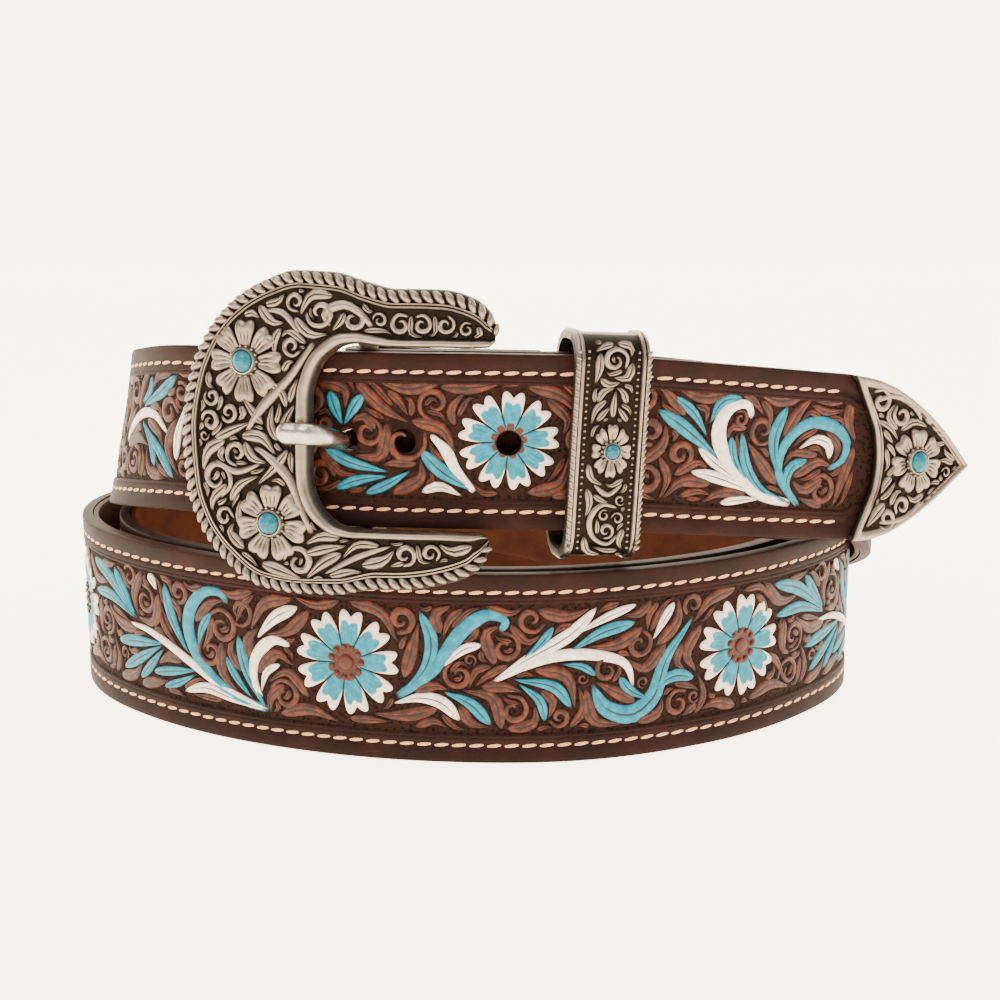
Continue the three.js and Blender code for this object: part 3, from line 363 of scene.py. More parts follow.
class Body:
    """A mesh that grows part by part, with each point's chart place and tone."""

    def __init__(self) -> None:
        """Starts empty."""
        self.points: list[Array] = []
        self.chart: list[Array] = []
        self.tone: list[Array] = []
        self.faces: list[list[int]] = []
        self.count = 0

    def add(self, points: Array, faces: Iterable[Array], chart: Array, tone: Array) -> None:
        """Adds one closed part.

        Args:
            points: rows of coordinates in millimetres.
            faces: arrays of corner numbers.
            chart: place of each point on its surface's chart.
            tone: 0 in a recess or at an outline, 1 on a crest.
        """
        flat = points.reshape(-1, 3)
        self.points.append(flat)
        self.chart.append(np.broadcast_to(chart, points.shape).reshape(-1, 3))
        self.tone.append(np.broadcast_to(tone, points.shape[:-1]).reshape(-1))
        for group in faces:
            self.faces.extend((group + self.count).tolist())
        self.count += len(flat)

    def sweep(self, rings: Array, chart: Array, tone: Array, loop: bool = False) -> None:
        """Adds rings of points joined to a closed part.

        Args:
            rings: points by ring and side.
            chart: chart places by ring and side.
            tone: tones by ring and side.
            loop: whether the last ring joins the first.
        """
        self.add(rings, ring_faces(rings.shape[0], rings.shape[1], loop), chart, tone)

    def beads(self, surface: Surface, places: Array, size: Sequence[float], turn: Array | float = 0.0,
              rings: int = 6, sides: int = 8) -> None:
        """Adds one oval bead at each place of a surface.

        Args:
            surface: what they lie on.
            places: along, up and out of each bead's middle.
            size: half length, half width and half height.
            turn: how far each is turned on the surface, in radians.
            rings: rings in a bead.
            sides: sides of a ring.
        """
        lat = np.linspace(0.12, np.pi - 0.12, rings)[:, None]
        lon = np.linspace(0, 2 * np.pi, sides, endpoint=False)[None]
        local = np.stack(np.broadcast_arrays(-np.cos(lat), np.sin(lat) * np.cos(lon),
                                             np.sin(lat) * np.sin(lon)), axis=-1).reshape(-1, 3)
        tone = np.clip(0.45 + 0.75 * local[:, 2], 0, 1)
        shape = local * np.asarray(size)
        angle = np.broadcast_to(np.asarray(turn, float), (len(places),))[:, None]
        along = shape[:, 0] * np.cos(angle) - shape[:, 1] * np.sin(angle) + places[:, :1]
        up = shape[:, 0] * np.sin(angle) + shape[:, 1] * np.cos(angle) + places[:, 1:2]
        out = shape[:, 2] + places[:, 2:3]
        points = surface(along.ravel(), up.ravel(), out.ravel())
        chart = np.stack([along.ravel(), up.ravel(), out.ravel()], axis=-1)
        shift = (np.arange(len(places)) * len(local))[:, None, None]
        faces = [(f[None] + shift).reshape(-1, f.shape[1]) for f in ring_faces(rings, sides)]
        self.add(points, faces, chart, np.tile(tone, len(places)))

    def stroke(self, surface: Surface, stroke: Stroke, base: float, height: float,
               shift: float = 0.0, squeeze: float = 1.0) -> None:
        """Adds a domed leaf, scroll or stem.

        Args:
            surface: what it lies on.
            stroke: its middle line and width.
            base: height of the ground that it rises from.
            height: how far it rises.
            shift: how far along it is moved.
            squeeze: scale of its places across the strap.
        """
        points = np.array(stroke.line, float) * (1, squeeze) + (shift, 0)
        length = np.linalg.norm(np.diff(points, axis=0), axis=1).sum()
        count = int(np.clip(length / min(0.75, 0.3 * stroke.width), 9, 36))
        t = 0.5 - 0.5 * np.cos(np.pi * np.linspace(0, 1, count))
        dense = smooth_line(points, 240)
        even = np.linspace(0, 1, 240)
        line = np.stack([np.interp(t, even, column) for column in dense.T], axis=-1)
        turned = unit(np.gradient(dense, axis=0))
        ahead = unit(np.stack([np.interp(t, even, column) for column in turned.T], axis=-1))
        side = np.stack([-ahead[:, 1], ahead[:, 0]], axis=-1)
        if stroke.form is Form.LEAF:
            wide = np.sin(np.pi * np.clip(t, 0.015, 0.985) ** 0.72) ** 0.85 * (1 - 0.35 * t) + 0.12 * t
        elif stroke.form is Form.SCROLL:
            head = np.clip(t * length / (0.3 * stroke.width), 0.004, 1)
            grown = 0.5 + 0.5 * np.clip(t / 0.38, 0, 1) ** 2 * (3 - 2 * np.clip(t / 0.38, 0, 1))
            wide = np.sqrt(1 - (1 - head) ** 2) * grown * (1 - 0.7 * np.clip(t - 0.35, 0, 1))
        else:
            wide = 0.25 + 0.75 * np.sin(np.pi * np.clip(t, 0.02, 0.98)) ** 0.6
        half = (stroke.width / 2 * wide)[:, None]
        x = np.linspace(-1, 1, 11)[None]
        dome = np.sqrt(np.clip(1 - x**2, 0, 1))
        end = np.sqrt(np.clip(np.minimum(t, 1 - t) * 9, 0.05, 1))[:, None]
        vein = 0.3 * bump(x, 0, 0.16) if stroke.form is Form.LEAF else 0.0
        lift = base - 0.12 + (height + 0.12) * np.broadcast_to(end, (count, 1)) * (dome - vein)
        lift = np.where(dome < 1e-6, base - 0.12, lift)
        flat = line[:, None] + side[:, None] * (half * x)[..., None]
        rings = surface(flat[..., 0], flat[..., 1], lift)
        rim = np.clip((1 - np.abs(x)) * half / 0.33, 0, 1) * np.clip(end * 1.2, 0, 1)
        line_dark = 0.0
        if stroke.form is Form.LEAF:
            line_dark = 0.95 * bump(x, 0, 0.15) * (np.sin(np.pi * t)[:, None] ** 0.5)
        chart = np.stack(np.broadcast_arrays(flat[..., 0], flat[..., 1], lift), axis=-1)
        self.sweep(rings, chart, np.clip(rim - line_dark, 0, 1))

    def rosette(self, surface: Surface, centre: tuple[float, float], radius: float, petals: int,
                base: float, height: float, first_deg: float = 90.0, tall: float = 1.0,
                lines: int = 1, cast: bool = False) -> None:
        """Adds a flower of heart-tipped petals.

        Args:
            surface: what it lies on.
            centre: its middle, along and up.
            radius: its reach.
            petals: how many petals.
            base: height of the ground that it rises from.
            height: how far its petals rise.
            first_deg: direction of the first petal.
            tall: how much taller it is than it is wide.
            lines: pressed lines along each petal.
            cast: whether its petals are broad and touch, as cast ones do.
        """
        steps = petals * 20
        angle = np.linspace(0, 2 * np.pi, steps, endpoint=False)[None]
        share = np.concatenate([np.linspace(0.03, 0.9, 13), [0.95, 0.985, 1.0]])[:, None]
        phase = ((angle - math.radians(first_deg)) * petals / (2 * np.pi) + 0.5) % 1 - 0.5
        cleft = bump(np.abs(phase), 0.5, 0.05 if cast else 0.1)
        notch = 0.08 if cast else 0.16
        between = (0.2 if cast else 0.3) * bump(np.abs(phase), 0.5, 0.12)
        rim = 1 - notch * (1 - np.abs(np.sin(2 * np.pi * phase)) ** 0.8) - between
        reach = radius * share * (rim * share + (1 - share))
        cup = 0.45 + 0.55 * np.clip(share / 0.72, 0, 1) ** 1.5
        edge = np.clip((1 - share) * 9, 0, 1) ** 0.5
        pressed = sum((bump(phase, k, 0.036) for k in np.linspace(-0.2, 0.2, lines)),
                      np.zeros_like(phase)) if lines > 1 else bump(phase, 0, 0.04)
        pressed = pressed * np.clip((share - 0.35) * 4, 0, 1) * np.clip((0.78 - share) * 7, 0, 1)
        lift = base - 0.1 + (height + 0.1) * cup * edge * (1 - 0.95 * cleft * share) * (1 - 0.3 * pressed)
        along = centre[0] + reach * np.cos(angle)
        up = centre[1] + reach * np.sin(angle) * tall
        rings = surface(along, up, lift)
        furrow = bump(np.abs(phase), 0.5, 0.085) * (share > 0.3)
        tone = np.clip(edge * 1.3, 0, 1) * (1 - furrow) * (1 - 0.8 * pressed)
        chart = np.stack(np.broadcast_arrays(along, up, share + 0.5 * phase**2), axis=-1)
        self.sweep(rings, chart, tone)

    def seat(self, surface: Surface, centre: tuple[float, float], radius: float, base: float,
             top: float) -> None:
        """Adds the round seat of a stone and the beads round it.

        Args:
            surface: what it lies on.
            centre: its middle, along and up.
            radius: the stone's radius.
            base: where the seat begins.
            top: where the stone's back lies.
        """
        angle = np.linspace(0, 2 * np.pi, 28, endpoint=False)[None]
        grow = np.array([1.5, 1.45, 1.3, 1.24, 1.12, 1.06])[:, None]
        lift = np.array([base, base + 0.5, base + 0.75, top + 0.25, top + 0.3, top])[:, None]
        along = centre[0] + radius * grow * np.cos(angle)
        up = centre[1] + radius * grow * np.sin(angle)
        rings = surface(along, up, np.broadcast_to(lift, along.shape))
        chart = np.stack(np.broadcast_arrays(along, up, lift), axis=-1)
        self.sweep(rings, chart, np.broadcast_to(np.array([0, 0.3, 0.5, 1, 1, 0.4])[:, None], along.shape))
        around = np.linspace(0, 2 * np.pi, 14, endpoint=False)
        ring = radius * 1.42
        places = np.stack([centre[0] + ring * np.cos(around), centre[1] + ring * np.sin(around),
                           np.full(14, base + 0.62)], axis=-1)
        self.beads(surface, places, (0.34, 0.34, 0.34), 0.0, 5, 6)


class Wire:
    """A node's output socket, on which Python's own operators add Math nodes."""

    def __init__(self, bench: "Mixer", socket: bpy.types.NodeSocket) -> None:
        """Keeps the socket and the tree that it is in."""
        self.bench = bench
        self.socket = socket

    def _math(self, operation: str, first: "Wire | float", second: "Wire | float" = 0.0) -> "Wire":
        """Adds one Math node."""
        return self.bench.add("ShaderNodeMath", {"operation": operation}, {0: first, 1: second})

    def __add__(self, other: "Wire | float") -> "Wire":
        """This plus another."""
        return self._math("ADD", self, other)

    def __radd__(self, other: float) -> "Wire":
        """A number plus this."""
        return self._math("ADD", other, self)

    def __sub__(self, other: "Wire | float") -> "Wire":
        """This less another."""
        return self._math("SUBTRACT", self, other)

    def __rsub__(self, other: float) -> "Wire":
        """A number less this."""
        return self._math("SUBTRACT", other, self)

    def __mul__(self, other: "Wire | float") -> "Wire":
        """This times another."""
        return self._math("MULTIPLY", self, other)

    def __rmul__(self, other: float) -> "Wire":
        """A number times this."""
        return self._math("MULTIPLY", other, self)

    def __pow__(self, other: float) -> "Wire":
        """This to a power."""
        return self._math("POWER", self, other)

    def step(self, low: float, high: float) -> "Wire":
        """Rises smoothly from 0 at low to 1 at high.

        Args:
            low: value at which it is 0.
            high: value at which it is 1.

        Returns:
            The share between them.
        """
        return self.bench.add("ShaderNodeMapRange", {"interpolation_type": "SMOOTHSTEP"},
                              {"Value": self, "From Min": low, "From Max": high})


Colour = tuple[float, float, float]


def linear(colour: Colour) -> tuple[float, float, float, float]:
    """Screen colour, in parts of 255, as the shader's own linear colour.

    Args:
        colour: red, green and blue.

    Returns:
        Linear red, green, blue and full alpha.
    """
    parts = [c / 255 for c in colour]
    red, green, blue = (c / 12.92 if c <= 0.04045 else ((c + 0.055) / 1.055) ** 2.4 for c in parts)
    return (red, green, blue, 1.0)


class Mixer:
    """One material's nodes."""

    def __init__(self, name: str) -> None:
        """Makes the material.

        Args:
            name: the finish's plain name.
        """
        self.material = bpy.data.materials.new(name)
        self.material.use_nodes = True
        self.tree = self.material.node_tree
        self.shader = self.tree.nodes["Principled BSDF"]
        self.chart = self.add("ShaderNodeAttribute", {"attribute_name": "chart"}, {}, "Vector")
        self.tone = self.add("ShaderNodeAttribute", {"attribute_name": "tone"}, {}, "Fac")

    def add(self, kind: str, settings: dict[str, object], inputs: dict[str | int, object],
            output: str | int = 0) -> Wire:
        """Adds any node: its settings first, then its inputs.

        Args:
            kind: the node's type.
            settings: properties by name.
            inputs: values or wires by socket name or number.
            output: the socket that is wanted.

        Returns:
            That output.
        """
        node = self.tree.nodes.new(kind)
        for key, value in settings.items():
            setattr(node, key, value)
        for key, value in inputs.items():
            self.join(node.inputs[key], value)
        return Wire(self, node.outputs[output])

    def join(self, socket: bpy.types.NodeSocket, value: object) -> None:
        """Links a wire to a socket, or sets its constant."""
        if isinstance(value, Wire):
            self.tree.links.new(value.socket, socket)
        else:
            socket.default_value = value

    def mix(self, share: Wire | float, first: Wire | Colour, second: Wire | Colour,
            how: str = "MIX") -> Wire:
        """Mixes two colours.

        Args:
            share: how much of the second.
            first: a wire, or a screen colour.
            second: a wire, or a screen colour.
            how: the blend type.

        Returns:
            The mixed colour.
        """
        colours = [c if isinstance(c, Wire) else linear(c) for c in (first, second)]
        return self.add("ShaderNodeMix", {"data_type": "RGBA", "blend_type": how},
                        {0: share, 6: colours[0], 7: colours[1]}, 2)

    def noise(self, scale: float, detail: float = 3.0, rough: float = 0.55,
              stretch: tuple[float, float, float] = (1, 1, 1)) -> Wire:
        """Cloudy noise on the chart, whose unit is a millimetre.

        Args:
            scale: bumps in a millimetre.
            detail: finer layers.
            rough: strength of the finer layers.
            stretch: scale along, across and out.

        Returns:
            A value from 0 to 1.
        """
        place = self.add("ShaderNodeVectorMath", {"operation": "MULTIPLY"},
                         {0: self.chart, 1: stretch})
        return self.add("ShaderNodeTexNoise", {}, {"Vector": place, "Scale": scale, "Detail": detail,
                                                   "Roughness": rough})

    def cells(self, scale: float) -> Wire:
        """Distance from the middles of small cells on the chart."""
        return self.add("ShaderNodeTexVoronoi", {}, {"Vector": self.chart, "Scale": scale}, "Distance")

    def bump(self, height: Wire, distance: float, strength: float = 1.0) -> Wire:
        """Normal of a height.

        Args:
            height: from 0 to 1.
            distance: how far 1 rises, in metres.
            strength: how much of it shows.

        Returns:
            The bent normal.
        """
        return self.add("ShaderNodeBump", {}, {"Height": height, "Distance": distance,
                                               "Strength": strength})

    def finish(self, **sockets: object) -> bpy.types.Material:
        """Joins the shader's sockets.

        Args:
            sockets: values or wires, by the socket's name with _ for each space.

        Returns:
            The material.
        """
        for name, value in sockets.items():
            self.join(self.shader.inputs[name.replace("_", " ")], value)
        return self.material


@dataclass(frozen=True)
class BorderedLeather:
    """Dyed strap leather: a smooth polished border and a dark matted ground."""

    name: str = "bordered leather"
    border: Colour = (25, 9, 6)
    worn: Colour = (40, 15, 9)
    ground: Colour = (14, 7, 5)
    speck: Colour = (34, 16, 10)

    def make(self) -> bpy.types.Material:
        """The material; the mesh's tone is 1 on the border and 0 on the ground."""
        m = Mixer(self.name)
        cloud = m.noise(0.12, 4.0)
        grain = m.noise(1.9, 3.0, 0.6)
        dots = m.cells(1.15)
        border = m.mix(cloud.step(0.35, 0.75), self.border, self.worn)
        border = m.mix((1 - grain.step(0.3, 0.62)) * 0.35, border, (20, 6, 4))
        ground = m.mix(dots.step(0.25, 0.55), self.ground, self.speck)
        zone = m.tone.step(0.25, 0.75)
        colour = m.mix(zone, ground, border)
        pits = (1 - zone) * dots.step(0.1, 0.55) + zone * (0.75 + grain * 0.25)
        return m.finish(Base_Color=colour, Roughness=(1 - zone) * 0.2 + 0.52 + grain * 0.12,
                        Normal=m.bump(pits, 0.00022, 0.6), Specular_IOR_Level=0.07)


@dataclass(frozen=True)
class PaintedRelief:
    """Tooled relief in one colour, with its cut outline darkened."""

    name: str
    colour: Colour
    light: Colour
    outline: Colour = (14, 5, 3)
    roughness: float = 0.42

    def make(self) -> bpy.types.Material:
        """The material; the mesh's tone is 0 at the outline."""
        m = Mixer(self.name)
        cloud = m.noise(0.55, 4.0, 0.6)
        fibre = m.noise(2.6, 3.0, 0.6)
        body = m.mix(cloud.step(0.38, 0.68), self.colour, self.light)
        body = m.mix(fibre.step(0.6, 0.8) * 0.25, body, self.outline)
        rim = m.tone.step(0.1, 0.85)
        colour = m.mix(rim, self.outline, body)
        return m.finish(Base_Color=colour, Roughness=self.roughness + fibre * 0.16,
                        Normal=m.bump(fibre, 0.00008, 0.55), Specular_IOR_Level=0.22)


@dataclass(frozen=True)
class PaintedFlower:
    """Tooled flower: brown centre, turquoise petals with white hearts at their tips."""

    name: str = "painted flower"
    centre: Colour = (66, 25, 9)
    petal: Colour = (0, 92, 112)
    tip: Colour = (205, 188, 170)
    outline: Colour = (14, 5, 3)

    def make(self) -> bpy.types.Material:
        """The material; the chart's third value is the share of the flower's reach."""
        m = Mixer(self.name)
        share = m.add("ShaderNodeSeparateXYZ", {}, {0: m.chart}, 2)
        cloud = m.noise(0.6, 4.0, 0.6, (1, 1, 0))
        petal = m.mix(cloud.step(0.35, 0.7), self.petal, (2, 120, 138))
        ragged = share + (cloud - 0.5) * 0.12
        colour = m.mix(ragged.step(0.79, 0.84), petal, self.tip)
        colour = m.mix(1 - share.step(0.36, 0.39), colour, self.centre)
        colour = m.mix(m.tone.step(0.1, 0.6), self.outline, colour)
        fibre = m.noise(2.4, 3.0, 0.6, (1, 1, 0))
        return m.finish(Base_Color=colour, Roughness=0.4 + fibre * 0.16,
                        Normal=m.bump(fibre, 0.00008, 0.5), Specular_IOR_Level=0.22)


@dataclass(frozen=True)
class SmoothLining:
    """Smooth brown lining leather."""

    name: str = "smooth lining"
    colour: Colour = (62, 27, 9)
    dark: Colour = (44, 18, 7)

    def make(self) -> bpy.types.Material:
        """The material."""
        m = Mixer(self.name)
        cloud = m.noise(0.1, 5.0, 0.6)
        grain = m.noise(1.6, 4.0, 0.65)
        colour = m.mix(cloud.step(0.3, 0.7), self.dark, self.colour)
        colour = m.mix(grain.step(0.55, 0.8) * 0.3, colour, self.dark)
        return m.finish(Base_Color=colour, Roughness=0.5 + grain * 0.18,
                        Normal=m.bump(grain, 0.00015, 0.5), Specular_IOR_Level=0.06)


@dataclass(frozen=True)
class AntiqueSilver:
    """Cast silver, dark in its recesses and rubbed bright on its crests."""

    name: str = "antique silver"
    bright: Colour = (128, 114, 101)
    dark: Colour = (32, 25, 20)
    roughness: float = 0.27
    low: float = 0.12
    high: float = 1.0

    def make(self) -> bpy.types.Material:
        """The material; the mesh's tone is 0 in a recess."""
        m = Mixer(self.name)
        cloud = m.noise(0.35, 5.0, 0.62)
        scratch = m.noise(1.6, 3.0, 0.6, (0.35, 2.2, 1.0))
        rub = m.tone.step(self.low, self.high)
        bright = m.mix((1 - cloud.step(0.3, 0.62)) * 0.4, self.bright, (88, 76, 66))
        colour = m.mix(rub, self.dark, bright)
        rough = self.roughness + (1 - rub) * 0.3 + scratch * 0.14
        return m.finish(Base_Color=colour, Metallic=1.0, Roughness=rough,
                        Normal=m.bump(cloud * 0.6 + scratch * 0.4, 0.00009, 0.5))


@dataclass(frozen=True)
class VeinedStone:
    """Polished turquoise with fine brown veins."""

    name: str = "veined turquoise"
    colour: Colour = (0, 78, 97)
    pale: Colour = (0, 108, 124)
    vein: Colour = (40, 40, 32)

    def make(self) -> bpy.types.Material:
        """The material."""
        m = Mixer(self.name)
        cloud = m.noise(0.9, 5.0, 0.65)
        veins = m.noise(0.75, 6.0, 0.7, (1.0, 1.6, 1.0))
        line = 1 - (veins - 0.5) ** 2.0 * 900
        colour = m.mix(cloud.step(0.35, 0.7), self.colour, self.pale)
        colour = m.mix(line.step(0.2, 1.0) * 0.55, colour, self.vein)
        return m.finish(Base_Color=colour, Roughness=0.16 + cloud * 0.1, Specular_IOR_Level=0.22)


@dataclass(frozen=True)
class WaxedThread:
    """Pale waxed sewing thread."""

    name: str = "waxed thread"
    colour: Colour = (208, 156, 112)
    dark: Colour = (96, 52, 28)

    def make(self) -> bpy.types.Material:
        """The material, with the thread's own twist."""
        m = Mixer(self.name)
        twist = m.add("ShaderNodeTexWave", {"bands_direction": "DIAGONAL"},
                      {"Vector": m.chart, "Scale": 0.9, "Distortion": 0.6})
        colour = m.mix(m.tone.step(0.0, 0.5) * (0.75 + twist * 0.25), self.dark, self.colour)
        return m.finish(Base_Color=colour, Roughness=0.62, Normal=m.bump(twist, 0.00012, 0.6))


class Slot(Enum):
    """The record's material slots."""

    LEATHER = "leather"
    LINING = "lining"
    SILVER = "silver"
    TURQUOISE = "turquoise"


class Bench:
    """Puts finished meshes in place round the frame."""

    def __init__(self, coil: Coil) -> None:
        """Finds where the coil's own frame lies in the row frame.

        Args:
            coil: the strap's route.
        """
        low, high = (np.array(corner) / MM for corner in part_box("tooled_strap"))
        turns = np.arange(math.floor(coil.bar_turn * 60) + 1, coil.tail_leaves * 60 + 1e-6) / 60
        turns = np.concatenate([[coil.bar_turn], turns])
        stations = coil.stations(turns)
        half = stations.width / 2
        corners = [stations.point(0.0, side * (half - cut), out)
                   for side in (-1, 1) for cut, out in ((0, -coil.leather), (0, -0.5), (0.5, 0.0))]
        points = np.concatenate(corners)
        own_low, own_high = points.min(axis=0), points.max(axis=0)
        self.shift = (low + high - own_low - own_high) / 2
        self.shift[2] = low[2] - own_low[2]
        log.info("strap box differs by %s mm", np.round(high - low - own_high + own_low, 3))

    def place(self, points: Array) -> Array:
        """Points in the row frame, in metres."""
        return (points + self.shift) * MM

    def build(self, name: str, body: Body, finish: bpy.types.Material, slot: Slot,
              *nodes: str, sharp_deg: float = 40.0) -> bpy.types.Object:
        """Makes a piece of a body.

        Args:
            name: the piece's plain name.
            body: its points and faces.
            finish: its material.
            slot: the record's slot for its finish; not used.
            nodes: nodes that it stands for.
            sharp_deg: edges turned more than this stay sharp.

        Returns:
            The new object.
        """
        mesh = bpy.data.meshes.new(name)
        mesh.from_pydata(self.place(np.concatenate(body.points)).tolist(), [], body.faces)
        work = bmesh.new()
        work.from_mesh(mesh)
        bmesh.ops.recalc_face_normals(work, faces=work.faces)
        work.to_mesh(mesh)
        work.free()
        chart = mesh.attributes.new("chart", "FLOAT_VECTOR", "POINT")
        chart.data.foreach_set("vector", np.concatenate(body.chart).astype(np.float32).ravel())
        tone = mesh.attributes.new("tone", "FLOAT", "POINT")
        tone.data.foreach_set("value", np.concatenate(body.tone).astype(np.float32))
        mesh.shade_smooth()
        mesh.set_sharp_from_angle(angle=math.radians(sharp_deg))
        mesh.materials.append(finish)
        piece = bpy.data.objects.new(name, mesh)
        bpy.context.scene.collection.objects.link(piece)
        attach(piece, "root")
        if nodes:
            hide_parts(*nodes)
        log.info("%s: %d faces", name, len(body.faces))
        return piece

    def cut(self, piece: bpy.types.Object, body: Body) -> None:
        """Cuts closed parts out of a piece.

        Args:
            piece: the object to cut.
            body: what is taken away.
        """
        mesh = bpy.data.meshes.new("cutter")
        mesh.from_pydata(self.place(np.concatenate(body.points)).tolist(), [], body.faces)
        work = bmesh.new()
        work.from_mesh(mesh)
        bmesh.ops.recalc_face_normals(work, faces=work.faces)
        work.to_mesh(mesh)
        work.free()
        cutter = bpy.data.objects.new("cutter", mesh)
        bpy.context.scene.collection.objects.link(cutter)
        tool = piece.modifiers.new("cut", "BOOLEAN")
        tool.operation = "DIFFERENCE"
        tool.solver = "MANIFOLD"
        tool.object = cutter
        graph = bpy.context.evaluated_depsgraph_get()
        result = bpy.data.meshes.new_from_object(piece.evaluated_get(graph))
        piece.modifiers.remove(tool)
        old = piece.data
        piece.data = result
        bpy.data.objects.remove(cutter)
        bpy.data.meshes.remove(mesh)
        bpy.data.meshes.remove(old)


@dataclass
class Strap:
    """The tooled leather and its lining, from the fold round the bar to the tip."""

    coil: Coil
    border: float = 5.7
    border_step: float = 0.4
    depth: float = 0.5
    edge_round: float = 0.5
    bond_gap: float = 0.2
    lining_margin: float = 0.25
    hole_radius: float = 2.4
    hole_places: tuple[float, ...] = (0.0, 11.4, 31.3)
    fold_length: float = 34.0
    fold_radius: float = 2.3
    slot_clearance: float = 0.5
    prong_width: float = 4.3
    eye_wall: float = 1.6
    spacing: float = 1.3
    stitch_inset: float = 3.6
    stitch_pitch: float = 3.45
    tip_length: float = 31.5
    tip_skew: float = 4.6
    end_in_tip: float = 11.0

    def profile(self, half: Array) -> tuple[Array, Array, Array]:
        """Half section of the leather from its back to its panel, mirrored.

        Args:
            half: half width of each ring.

        Returns:
            Distance up, height over the back face, and tone, each by ring and point.
        """
        inner = np.maximum(half - self.border, half * 0.4)
        r, thick = self.edge_round, self.coil.leather
        groove = half - self.stitch_inset
        rows = [(half, 0.0, 1.0), (half, thick - 1.3, 1.0), (half, thick - r, 1.0),
                (half - 0.15 * r, thick - 0.35 * r, 1.0), (half - 0.5 * r, thick - 0.1 * r, 1.0),
                (half - 1.3 * r, thick, 1.0), (groove + 0.75, thick, 1.0), (groove + 0.4, thick - 0.2, 0.8),
                (groove - 0.4, thick - 0.2, 0.8), (groove - 0.75, thick, 1.0), (inner + 0.9, thick, 1.0),
                (inner + 0.55, thick - 0.12, 0.45), (inner + 0.25, thick, 1.0), (inner, thick - 0.06, 0.8),
                (inner - self.border_step, thick - self.depth, 0.0), (inner * 0.5, thick - self.depth, 0.0)]
        up = np.stack([np.broadcast_to(row[0], half.shape) for row in rows], axis=-1)
        rise = np.broadcast_to([row[1] for row in rows], up.shape)
        tone = np.broadcast_to([row[2] for row in rows], up.shape)
        both = [np.concatenate([side, sign * side[:, ::-1]], axis=1)
                for side, sign in ((up, -1), (rise, 1), (tone, 1))]
        return -both[0], both[1], both[2]

    def skew(self, along: Array, up: Array) -> Array:
        """How much further along the tip's lower side lies."""
        return self.tip_skew * (0.5 - up / self.coil.billet_width) * (1 - along / self.tip_length)

    def tip_half(self, along: Array) -> Array:
        """Half height of the tip at a distance from its base corners."""
        share = np.array([0, 0.12, 0.3, 0.48, 0.65, 0.8, 0.92, 1])
        half = np.array([1, 0.985, 0.91, 0.76, 0.57, 0.36, 0.16, 0.03])
        return blend(share, half, along / self.tip_length) * self.coil.billet_width / 2

    def leather(self, bench: Bench, finish: bpy.types.Material) -> None:
        """Builds the leather, folded round the bar, with its holes and slot.

        Args:
            bench: puts it in place.
            finish: its material.
        """
        coil, body = self.coil, Body()
        back = coil.leather + self.bond_gap
        deep = coil.leather + self.fold_radius
        along = np.linspace(1, 0.12, 30)
        sunk = blend(np.array([0.12, 0.24, 0.38, 0.5, 0.75, 1]),
                     np.array([0.82, 0.45, 0.11, 0, 0, 0]), along)
        inner = back + (deep + self.fold_radius - back) * sunk
        parts = [self.strip(coil.after(coil.bar_turn, along * self.fold_length), 0 * along, -inner,
                            0 * along - np.pi)]
        bend = np.pi * np.arange(16) / 16
        parts.append(self.strip(np.full(16, coil.bar_turn), -self.fold_radius * np.sin(bend),
                                -deep - self.fold_radius * np.cos(bend), bend - np.pi))
        end = coil.tail_to_tip - coil.bar_offset + self.distance(3) + self.end_in_tip
        places = np.arange(0, end, self.spacing)
        at = places - (end - self.end_in_tip)
        turns = coil.after(coil.bar_turn, places)
        stations = coil.stations(turns)
        wall = np.clip(at / 0.6, 0, 1) * 1.3
        half = np.where(at > 0, self.tip_half(np.maximum(at, 0)) - wall, stations.width / 2)
        up, rise, tone = self.profile(half)
        lean = np.clip((at + 22) / 22, 0, 1)[:, None] * self.skew(np.maximum(at, 0)[:, None], up)
        rings = self.rings(stations, lean, up, rise - coil.leather)
        chart = np.stack(np.broadcast_arrays(places[:, None], up, rise), axis=-1)
        parts.append((rings, chart, tone))
        body.sweep(*(np.concatenate(group) for group in zip(*parts)))
        piece = bench.build("tooled_strap_fine", body, finish, Slot.LEATHER, "tooled_strap")
        bench.cut(piece, self.drills())
        bench.cut(piece, self.slot())

    def distance(self, turns: int) -> float:
        """Length of the strap from the bar round to the same place some turns later."""
        coil = self.coil
        return float(np.interp(coil.bar_turn + turns, coil.turns, coil.walked)
                     - np.interp(coil.bar_turn, coil.turns, coil.walked))

    def rings(self, stations: Stations, along: Array, up: Array, out: Array) -> Array:
        """Points of whole sections, by ring and point."""
        lift = up + stations.width[:, None] / 2
        return (stations.place[:, None] + stations.forward[:, None] * np.asarray(along)[..., None]
                + stations.up[:, None] * lift[..., None] + stations.out[:, None] * out[..., None])

    def strip(self, turns: Array, along: Array, out: Array, facing: Array) -> tuple[Array, Array, Array]:
        """Sections whose back faces pass some points and whose outer faces look elsewhere.

        Args:
            turns: where each station stands.
            along: the back face's place forward of it.
            out: the back face's place out of it.
            facing: angle of the outer face, 0 being straight out.

        Returns:
            Rings, chart places and tones.
        """
        stations = self.coil.stations(turns)
        up, rise, tone = self.profile(stations.width / 2)
        forward = along[:, None] + rise * np.sin(facing)[:, None]
        lift = out[:, None] + rise * np.cos(facing)[:, None]
        rings = self.rings(stations, forward, up, lift)
        chart = np.stack(np.broadcast_arrays(forward * 3, up, lift), axis=-1)
        return rings, chart, tone

